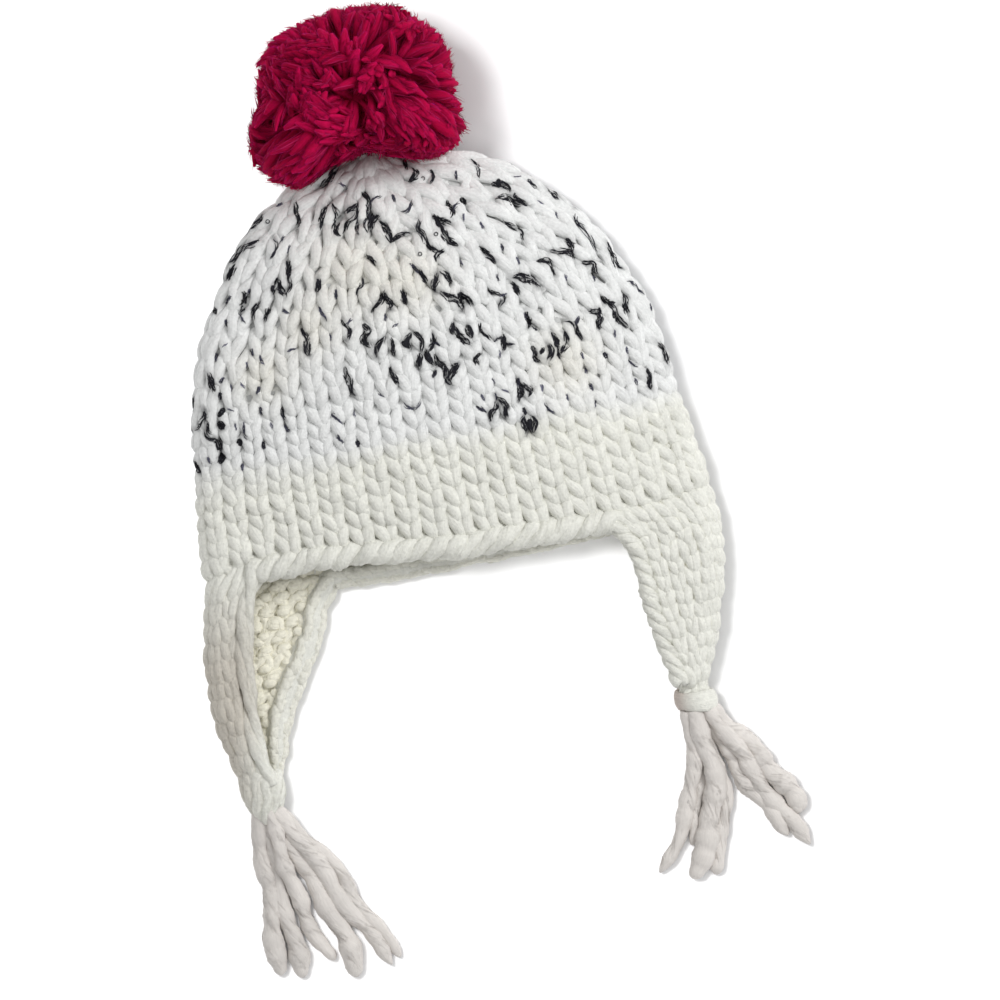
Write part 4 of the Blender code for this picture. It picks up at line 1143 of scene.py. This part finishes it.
def knit_flap(name, side, rows, gauge, lean, overhang, node, rng):
    """Knit one flap from its upper end down."""
    face = flap_face(side)
    threads = Threads()
    rise = 1.0 / rows
    count = round(face.width(1 - 0.35 * rise) / gauge)
    # painted light: the sides of each row that face into the wall are blended towards the inner side's
    # brighter, warmer cream
    facing = np.sin(TURN * np.arange(KNIT_SIDES) / KNIT_SIDES)
    inward = np.clip(0.4 - 1.4 * facing, 0, 1)[:, None]
    for k in range(rows):
        v = 1 - (k + 0.35) * rise
        while face.width(v) / count < gauge * 0.80 and count > 4:
            count -= 1
        yarn = np.interp(face.width(v) / count, [5 * MM, 9 * MM], [1.8, 2.4]) * MM
        line, up, wide, thick = knit_row(face, (np.arange(count) + 0.5) / count, v, rise, yarn, lean, 1.0,
                                         overhang, 0.7 * MM, 0.18, rng)
        colour = wool_colour(line)
        threads.add(line, up, wide, thick, lerp(colour[:, None], INNER_WARM_LIT, inward), sides=KNIT_SIDES, grain=0.05,
                    seed=300 + k)
        threads.fuzz(colour * 1.02, len(line) // 2, 3.2, rng)
    purl_rows = int(SIDES[side].flap_length / PURL_ROW)
    for k in range(purl_rows):
        v = 1 - (k + 0.4) / purl_rows
        wales = max(2, round(face.width(v) / PURL_WALE))
        centres = (np.arange(wales) + 0.5 * (k % 2)) / wales + 0.02
        purl_bumps(threads, face, centres, v, 1 / purl_rows, 6.6 * MM, rng)
    # painted light and shade: the flap's backing is half the inner side's brighter, warmer cream, then
    # darkened a little
    backing(threads, face, 0.02, 0.98, 3.6 * MM, 40, 40, lerp(IVORY, INNER_WARM_LIT, 0.5) * 0.95, 8)
    threads.build(name, yarn_wool, "ivory_wool", (node,))


knit_flap("ear_flap_left_knit", -1, 11, 9.4 * MM, 0.05, 0.21, "ear_flap_left", rng)
knit_flap("ear_flap_right_knit", 1, 12, 8.6 * MM, 0.08, 0.20, "ear_flap_right", rng)

inner = Threads()
for v, step, centres in plan[:5]:
    purl_bumps(inner, body, centres, v, step, 7.4 * MM, rng, steps=5, sides=6)
# painted shade: these layers are darker than the yarn in front of them, the crown's much darker, for the
# shade in the gaps between stitches
backing(inner, body, 0.01, 0.26, 3.7 * MM, 240, 26, IVORY * 0.95, 6)
backing(inner, body, 0.25, 0.99, 4.6 * MM, 160, 32, WHITE * 0.72, 6)
inner.build("inner_side", yarn_wool, "ivory_wool")


# Edging

PLIES = 3
PLY_SHARE = 0.54         # a ply's radius over the rope's
PITCH_SAMPLES = 30       # samples a mean pitch
RIM_PITCH = 23 * MM
LEFT_PITCH = 75 * MM
RIGHT_PITCH = 19 * MM


def finer(fields, step):
    """Return columns that start with the places of a line, at even steps, and the line's length."""
    fine = rounded(np.concatenate(fields, axis=1), 8)
    along = lengths_along(fine[:, :3])
    return point_at(fine, np.linspace(0, along[-1], int(along[-1] / step)), along), along[-1]


def make_rope(name, node, rng):
    """Make the front's twisted edging, whose pitch is longer on the left flap."""
    line, radii, up = edging_line(True)
    rim = radii == EDGING_DIAMETER / 2
    right = np.maximum.accumulate(rim) & ~rim
    pitch = np.where(rim, RIM_PITCH, np.where(right, RIGHT_PITCH, LEFT_PITCH))
    radii = radii * np.where(rim, 1.24, 1.14)
    fine, total = finer([line, up, radii[:, None], pitch[:, None]], np.mean(pitch) / PITCH_SAMPLES)
    core, up, radii, pitch = fine[:, :3], unit(fine[:, 3:6]), fine[:, 6], fine[:, 7]
    aside, over = frames(core, up)
    turn = np.cumsum(TURN * (total / (len(fine) - 1)) / pitch)
    size = radii * PLY_SHARE
    threads = Threads()
    for ply in range(PLIES):
        angle = turn + TURN * ply / PLIES + 0.38 * np.sin(turn * 0.37 + ply)
        out = round_tube(aside, over, angle)
        path = core + out * (radii - size)[:, None]
        swell = 1 + 0.22 * np.sin(turn * 1.37 + 2.1 * ply) * np.sin(turn * 0.43 + ply)
        swell = swell + 0.11 * wander(path, 0.006, 21)
        colour = wool_colour(path)
        threads.add(path, out, size * 1.08 * swell, size * 0.98 * swell, colour, sides=10, grain=0.06,
                    seed=500 + ply)
        threads.fuzz(colour * 1.03, len(path) * 3 // 2, 6.0, rng)
    return threads.build(name, yarn_wool, "ivory_wool", (node,))


make_rope("edging_front_twist", "edging_front", rng)

ROLL_RINGS = 8
BUMP_SPACING = 6.0 * MM
BUMP_STEPS = 6
# How thick the roll is over its plain radius, at distances from its start at the left flap's lower end
ROLL_SWELL = ((0, 14 * MM, 30 * MM, 75 * MM, 95 * MM), (0.50, 0.95, 1.24, 1.20, 1.06))


def make_roll(name, node, rng):
    """Make the back's rolled edge: a soft core covered with the small bumps of the knit's inner side."""
    line, radii, up = edging_line(False)
    fine, _ = finer([line, up, radii[:, None]], 1.1 * MM)
    core, up, radii = fine[:, :3], unit(fine[:, 3:6]), fine[:, 6]
    place = lengths_along(core)
    swell = np.interp(place, *ROLL_SWELL)
    radii = radii * (swell + 0.07 * wander(core, 0.012, 15) + 0.04 * wander(core, 0.005, 16))
    fields = np.concatenate([core, *frames(core, up), radii[:, None]], axis=1)
    threads = Threads()
    threads.add(core, up, radii * 0.86, radii * 0.86, wool_colour(core), sides=14, grain=0.05, seed=510)
    share = np.linspace(-1, 1, BUMP_STEPS)[None]
    lines, ups, sizes = [], [], []
    for ring in range(ROLL_RINGS):
        at = np.arange(0.5 * (ring % 2) * BUMP_SPACING, place[-1] - 2 * MM, BUMP_SPACING)
        at = (at + rng.normal(0, 0.35 * MM, len(at)))[:, None]
        s = np.clip(at + share * BUMP_SPACING * 0.48, 0, place[-1])
        angle = TURN * ring / ROLL_RINGS + rng.normal(0, 0.12, at.shape)
        angle = angle + 0.35 * (1 - share ** 2) * (-1) ** ring
        table = point_at(fields, s.ravel(), place).reshape(*s.shape, -1)
        out = round_tube(table[..., 3:6], table[..., 6:9], angle)
        reach = table[..., 9] - 1.75 * MM + 0.4 * MM * (1 - share ** 2)
        lines.append(table[..., :3] + out * reach[..., None])
        ups.append(unit(out))
        sizes.append(2.15 * MM * np.sqrt(1 - 0.5 * share ** 2) * rng.uniform(0.85, 1.15, at.shape)
                     * np.clip(table[..., 9] / (5 * MM), 0.5, 1.0))
    line, up, size = np.concatenate(lines), np.concatenate(ups), np.concatenate(sizes)
    # painted light: the roll's bumps go part way to the inner side's brighter, warmer cream
    tone = lerp(wool_colour(line), INNER_WARM_LIT, 0.3)
    threads.add(line, up, size * 1.1, size * 0.8, tone, sides=7, grain=0.06, seed=511)
    threads.fuzz(tone * 1.02, 1400, 4.5, rng)
    return threads.build(name, yarn_wool, "ivory_wool", (node,))


make_roll("edging_back_roll", "edging_back", rng)


# Knots and tassels

# Radii of the knots' plies, over the width: shares of the length, and the radius there
KNOT_FORMS = {
    -1: ((-0.60, 0.0, 0.35, 0.75, 1.0, 1.35), (0.42, 0.42, 0.40, 0.32, 0.24, 0.12)),
    1: ((-0.3, 0.0, 0.22, 0.5, 0.78, 1.0, 1.3), (0.33, 0.29, 0.27, 0.35, 0.34, 0.25, 0.13)),
}
KNOT_PLIES = 10
COLLAR_PLACE = 0.60
COLLAR_YARN = 1.7 * MM
COLLAR_SPREAD = 2.6


def across_knot(angle):
    """Return the directions at some angles round a knot's axis, which lies along y."""
    return np.stack([np.cos(angle), np.zeros_like(angle), np.sin(angle)], axis=1)


def make_knot(name, side, node, twist, with_collar):
    """Make a flap's gathered tip: plies drawn together lengthwise, with or without a flat collar."""
    width, length = SIDES[side].knot_width, SIDES[side].knot_length
    x, y = neck(side)
    form = KNOT_FORMS[side]
    t = np.linspace(form[0][0], form[0][-1], 40)
    around = np.interp(t, *form) * width
    centre = np.stack([np.full_like(t, x), y - t * length, np.full_like(t, width / 2)], axis=1)
    threads = Threads()
    for ply in range(KNOT_PLIES):
        out = across_knot(TURN * ply / KNOT_PLIES + twist * t + 0.12 * np.sin(5 * t + ply))
        size = 2.5 * MM * (1 + 0.10 * np.sin(t * 4 + ply * 1.7)) * np.sqrt(around / (0.36 * width))
        line = centre + out * around[:, None]
        colour = wool_colour(line)
        threads.add(line, out, size * 1.05, size * 0.95, colour, sides=10, grain=0.04, seed=40 + ply)
        threads.fuzz(colour * 1.02, 50, 9.0, rng)
    core = around * 0.9
    up = np.tile([0.0, 0.0, 1.0], (len(t), 1))
    threads.add(centre, up, core, core, wool_colour(centre), sides=16, seed=55)
    if with_collar:
        angle = np.linspace(0, TURN, 36, endpoint=False)
        out = across_knot(angle)
        reach = np.interp(COLLAR_PLACE, *form) * width + 2.2 * MM
        along = COLLAR_PLACE + 0.10 * np.sin(angle + 0.8)
        line = np.stack([np.full_like(angle, x), y - along * length, np.full_like(angle, width / 2)], axis=1)
        line = line + out * reach
        size = COLLAR_YARN * (1 + 0.10 * np.sin(angle * 2))
        # painted shade: the collar's left end goes part way to a brownish grey
        collar_left_shade = np.exp(-((line[:, 0] - x + reach) / (4 * MM)) ** 2)[:, None]
        threads.add(line, out, size * COLLAR_SPREAD, size, lerp(wool_colour(line), COLLAR_SHADE_COLOUR, 0.55 * collar_left_shade),
                    sides=14, closed=True, grain=0.04, seed=60)
    return threads.build(name, yarn_wool, "ivory_wool", (node,))


make_knot("knot_left_gather", -1, "knot_left", 0.5, False)
make_knot("knot_right_gather", 1, "knot_right", 1.1, True)

STRAND_STEPS = 72
# A strand's radius along it: shares of its length, the form with a blunt end and the one with a sharp end
STRAND_SHARES = (0, 0.08, 0.55, 0.92, 0.965, 0.985, 1.0)
BLUNT_FORM = np.array([0.70, 0.82, 1.0, 1.04, 0.84, 0.58, 0.2])
SHARP_FORM = np.array([0.70, 0.82, 1.0, 0.66, 0.42, 0.26, 0.1])


def make_tassel(name, side, node, seed):
    """Make a tassel of thick and thin roving strands."""
    rng = np.random.default_rng(seed)
    length = SIDES[side].tassel_length
    x, y = neck(side)
    y = y - GAP - SIDES[side].knot_length - GAP
    threads = Threads()
    share = np.linspace(0, 1, STRAND_STEPS)
    up = np.tile([0.0, 0.0, 1.0], (STRAND_STEPS, 1))
    for i, strand in enumerate(SIDES[side].strands):
        radius = strand.thick * STRAND_DIAMETER / 2
        drop = strand.drop * length
        lift = strand.rise * STRAND_DIAMETER
        core = rounded([(x + strand.root * length * 0.8, y + 2 * MM, lift + ROOT_RISE * STRAND_DIAMETER),
                        (x + strand.upper * length, y - drop / 3, max(lift, radius)),
                        (x + strand.lower * length, y - drop * 2 / 3, radius),
                        (x + strand.tip * length, y - drop + radius * 0.4, radius * 0.8)], 24)
        core = point_at(core, np.linspace(0, lengths_along(core)[-1], STRAND_STEPS))
        aside, over = frames(core, up)
        phase = rng.uniform(0, 6.28)
        sway = np.sin(share * rng.uniform(9, 13) + phase) * share * (1 - share) * 6
        core = core + aside * (sway * MM)[:, None]
        lumps = 1 + 0.11 * np.sin(share * rng.uniform(18, 30) + phase) + 0.06 * np.sin(share * 51 + i)
        size = radius * lumps * np.interp(share, STRAND_SHARES, lerp(BLUNT_FORM, SHARP_FORM, strand.sharp))
        core[:, 2] = np.maximum(core[:, 2], size * 0.9)
        tone = TASSEL * (1 - 0.07 * (i in (0, 1) and side < 0)) * (1 - 0.03 * np.sin(share * 17 + i))[:, None]
        threads.add(core, up, size * 0.94, size * 0.88, tone, sides=14, grain=0.05, seed=600 + i)
        for ply in range(2):
            out = round_tube(aside, over, share * rng.uniform(9, 14) + math.pi * ply + phase)
            path = core + out * (size * 0.42)[:, None]
            thick = size * 0.60 * (1 + 0.08 * np.sin(share * 37 + ply * 2))
            path[:, 2] = np.maximum(path[:, 2], thick * 0.9)
            threads.add(path, out, thick * 1.15, thick * 0.9, tone, sides=10, grain=0.08,
                        seed=650 + 10 * i + ply)
            threads.fuzz(tone * rng.uniform(0.86, 1.06), 60, 22.0, rng, lift=0.12, width=0.30, points=6,
                         around=TURN)
    return threads.build(name, roving_wool, "tassel_wool", (node,))


make_tassel("tassel_left_strands", -1, "tassel_left", 21)
make_tassel("tassel_right_strands", 1, "tassel_right", 22)


# Pompom

POMPOM_CENTRE = np.array([POMPOM_SHIFT, APEX_Y - POMPOM_SEAT + POMPOM_DEPTH / 2, POMPOM_HEIGHT / 2])
# Its outline from above, then its clefts as x, y and depth, all in millimetres
POMPOM_OUTLINE = ((-34, 208), (-22, 210), (-9, 213), (3, 211), (19, 210), (30, 201), (37, 192), (39, 178),
                  (39, 164), (41, 150), (36, 141), (22, 138), (8, 142), (-8, 147), (-27, 142), (-43, 135),
                  (-54, 144), (-59, 158), (-56, 169), (-50, 178), (-49, 190), (-43, 200))
POMPOM_CLEFTS = ((-12, 170, 5), (9, 162, 6), (13, 176, 5), (-3, 152, 5), (6, 193, 4), (-30, 158, 4),
                 (24, 152, 4))
CLEFT_RADIUS = 4.5 * MM
# The points that the locks part from, above and below, seen from the centre
PARTING_ABOVE = (17, -12, 42)
PARTING_BELOW = (8, 6, -42)
LOCKS = 1500
LOCK_STEPS = 7
LOCK_FORM = ((0, 0.3, 0.65, 0.84, 0.95, 1.0), (0.55, 0.85, 1.0, 0.90, 0.62, 0.25))
LOCK_WIDE, LOCK_THICK = 0.80, 1.20
TUFTS = 84
CORE_SHARE = 0.64        # the core's reach over the pompom's
FIBRES = 27500
FIBRE_POINTS = 4
FIBRE_FORM = ((0, 0.3, 0.65, 0.85, 1.10), (0.6, 0.85, 1.0, 0.92, 0.75))


def spread_directions(count):
    """Return evenly spread directions, by the golden angle."""
    i = np.arange(count) + 0.5
    z = 1 - 2 * i / count
    ring = np.sqrt(1 - z ** 2)
    return np.stack([ring * np.cos(GOLDEN_ANGLE * i), ring * np.sin(GOLDEN_ANGLE * i), z], axis=1)


def outline_scale(direction):
    """Return how much further than its plain form the pompom reaches, to follow its outline from above."""
    spots = np.array(POMPOM_OUTLINE) * MM - POMPOM_CENTRE[:2]
    turn = np.arctan2(spots[:, 1], spots[:, 0])
    order = np.argsort(turn)
    turn, far = turn[order], np.linalg.norm(spots, axis=1)[order]
    ratio = far / pompom_reach(np.stack([np.cos(turn), np.sin(turn), np.zeros_like(turn)], axis=1))
    at = np.arctan2(direction[..., 1], direction[..., 0])
    scale = np.interp(at, np.concatenate([turn - TURN, turn, turn + TURN]), np.tile(ratio, 3))
    return lerp(1.0, scale, np.clip(1.25 * (1 - direction[..., 2] ** 2), 0, 1))


def pompom_surface(direction):
    """Return how far the brushed pompom reaches, with its clefts."""
    reach = pompom_reach(direction) * outline_scale(direction)
    spot = POMPOM_CENTRE + direction * reach[..., None]
    for x, y, depth in POMPOM_CLEFTS:
        near = np.sum((spot[..., :2] - np.array([x, y]) * MM) ** 2, axis=-1) / CLEFT_RADIUS ** 2
        reach = reach - depth * MM * np.exp(-near) * (direction[..., 2] > 0)
    return reach


def make_pompom(rng):
    """Make the pompom's brushed locks and the fibres on them."""
    direction = unit(spread_directions(LOCKS) + rng.normal(0, 0.07, (LOCKS, 3)))
    above, below = (unit(np.array(spot, dtype=float)) for spot in (PARTING_ABOVE, PARTING_BELOW))
    pole = np.where(direction[:, 2:] > -0.25, above, below)
    tufts = unit(spread_directions(TUFTS) + rng.normal(0, 0.10, (TUFTS, 3)))
    tuft = np.argmax(direction @ tufts.T, axis=1)
    comb = direction - pole + rng.normal(0, 0.75, (TUFTS, 3))[tuft] + rng.normal(0, 0.30, (LOCKS, 3))
    comb = unit(comb - direction * np.sum(comb * direction, axis=1, keepdims=True))
    share = np.linspace(0, 1, LOCK_STEPS)
    size = rng.uniform(1.5, 2.6, (LOCKS, 1)) * MM
    bend = rng.uniform(0.15, 0.66, (LOCKS, 1))
    heading = unit(direction[:, None] + comb[:, None] * (bend * share ** 1.6)[..., None]
                   + 0.42 * (tufts[tuft] - direction)[:, None] * share[None, :, None])
    tip = rng.uniform(0.99, 1.03, (LOCKS, 1)) - rng.uniform(0, 0.07, (TUFTS, 1))[tuft]
    rise = pompom_surface(heading) * lerp(0.45, tip, (1.6 * share - 0.6 * share ** 2)[None]) - 0.75 * size
    line = POMPOM_CENTRE + heading * rise[..., None]
    wide = size * np.interp(share, *LOCK_FORM)
    # painted shade and highlight: each lock runs from the darker crimson at its root, in the shaded gaps, to
    # a brighter crimson at its tip; how far it brightens differs at random from tuft to tuft
    tuft_light = rng.uniform(0.1, 1.0, (TUFTS, 1, 1))[tuft] + rng.normal(0, 0.18, (LOCKS, 1, 1))
    tuft_light = np.clip(tuft_light, 0.05, 1)
    tone = lerp(CRIMSON_DEEP, CRIMSON, tuft_light * share[None, :, None] ** 1.5)
    threads = Threads()
    turn, tilt = np.meshgrid(np.linspace(0, TURN, 49), np.linspace(-0.5, 0.5, 25) * math.pi)
    ball = np.stack([np.cos(tilt) * np.cos(turn), np.cos(tilt) * np.sin(turn), np.sin(tilt)], axis=-1)
    # painted shade: the core under the locks is darker still than the locks' roots
    threads.sheet(POMPOM_CENTRE + ball * (pompom_surface(ball) * CORE_SHARE)[..., None], CRIMSON_DEEP * 0.7)
    side_up = np.cross(direction, comb)[:, None] + 0 * line
    aside, over = threads.add(line, side_up, wide * LOCK_WIDE, wide * LOCK_THICK, tone, sides=5, grain=0.10,
                              seed=70)
    threads.build("pompom_locks", crimson_wool, "pompom_wool", ("pompom",))

    lock = rng.integers(0, LOCKS, FIBRES)
    first = rng.uniform(0.30, 0.70, (FIBRES, 1))
    last = np.minimum(first + rng.uniform(0.30, 0.55, (FIBRES, 1)), 1.02)
    at = lerp(first, last, np.linspace(0, 1, FIBRE_POINTS)[None])
    i = np.clip(np.floor(at * (LOCK_STEPS - 1)).astype(int), 0, LOCK_STEPS - 2)
    s = (at * (LOCK_STEPS - 1) - i)[..., None]

    def on_lock(field):
        """Return a field of the locks where the fibres lie."""
        return lerp(field[lock[:, None], i], field[lock[:, None], i + 1], s)

    radius = np.interp(at, *FIBRE_FORM) * size[lock]
    angle = rng.uniform(0, TURN, (FIBRES, 1)) + rng.normal(0, 1.3, (FIBRES, 1)) * (at - first)
    out = round_tube(on_lock(aside) * LOCK_WIDE, on_lock(over) * LOCK_THICK, angle)
    stand = 1.02 + rng.uniform(0, 0.85, (FIBRES, 1)) ** 1.4 * np.linspace(0.45, 1, FIBRE_POINTS)
    path = on_lock(line) + out * (radius * stand)[..., None]
    flat = unit(np.cross(np.gradient(path, axis=1), out))
    light = rng.uniform(0, 1, (FIBRES, 1, 1))
    tone = lerp(lerp(CRIMSON_DEEP, CRIMSON, light ** 0.7), CRIMSON_LIGHT, np.maximum(0, light - 0.6) * 1.8)
    threads = Threads()
    threads.ribbons(path, flat, rng.uniform(0.28, 0.60, FIBRES) * MM, tone * (0.7 + 0.3 * tuft_light[lock]))
    threads.build("pompom_fibres", crimson_wool, "pompom_wool")


make_pompom(np.random.default_rng(31))


# Floor, light and camera

FLOOR_HALF = 3.0
LIGHT_TARGET = Vector((0.0, 0.02, 0.0))


def make_floor():
    """Make the plain pale floor."""
    mesh = bpy.data.meshes.new("floor")
    corners = [(x * FLOOR_HALF, y * FLOOR_HALF, 0) for x, y in ((-1, -1), (1, -1), (1, 1), (-1, 1))]
    mesh.from_pydata(corners, [], [(0, 1, 2, 3)])
    item = new_object("floor", mesh)
    material = bpy.data.materials.new("floor_paper")
    material.use_nodes = True
    shader = material.node_tree.nodes["Principled BSDF"]
    shader.inputs["Base Color"].default_value = (0.93, 0.93, 0.935, 1)
    shader.inputs["Roughness"].default_value = 0.9
    shader.inputs["Specular IOR Level"].default_value = 0.1
    mesh.materials.append(material)
    return item


def area_light(name, place, size, power, pieces):
    """Make a soft square light that points at the hat and falls on some pieces only."""
    light = bpy.data.lights.new(name, "AREA")
    light.shape = "SQUARE"
    light.size = size
    light.energy = power
    item = new_object(name, light)
    item.location = place
    item.rotation_euler = (LIGHT_TARGET - Vector(place)).to_track_quat("-Z", "Y").to_euler()
    lit = bpy.data.collections.new(name + "_lit")
    for piece in pieces:
        lit.objects.link(piece)
    item.light_linking.receiver_collection = lit


def make_camera():
    """Make the camera: straight overhead, turned so that the hat leans as in the photograph."""
    camera = bpy.data.cameras.new("camera")
    camera.lens = 300
    camera.sensor_width = 36
    item = new_object("camera", camera)
    item.location = (0.02185, -0.01374, 3.703)
    item.rotation_euler = (0, 0, math.radians(-11))
    bpy.context.scene.camera = item


knitwear = [item for item in bpy.context.scene.objects if item.type == "MESH"]
floor = make_floor()
area_light("key", (1.0, 0.5, 1.4), 0.9, 21, knitwear)
area_light("fill", (-0.9, -0.4, 1.6), 1.4, 4, knitwear)
area_light("floor_key", (-0.50, 0.44, 1.6), 0.42, 22, [floor])
area_light("floor_fill", (0.1, 0.0, 1.9), 1.8, 12, [floor])
make_camera()

world = bpy.data.worlds.new("studio")
world.use_nodes = True
world.node_tree.nodes["Background"].inputs["Color"].default_value = (1, 1, 1, 1)
world.node_tree.nodes["Background"].inputs["Strength"].default_value = 0.47
bpy.context.scene.world = world
bpy.context.scene.view_settings.view_transform = "Standard"
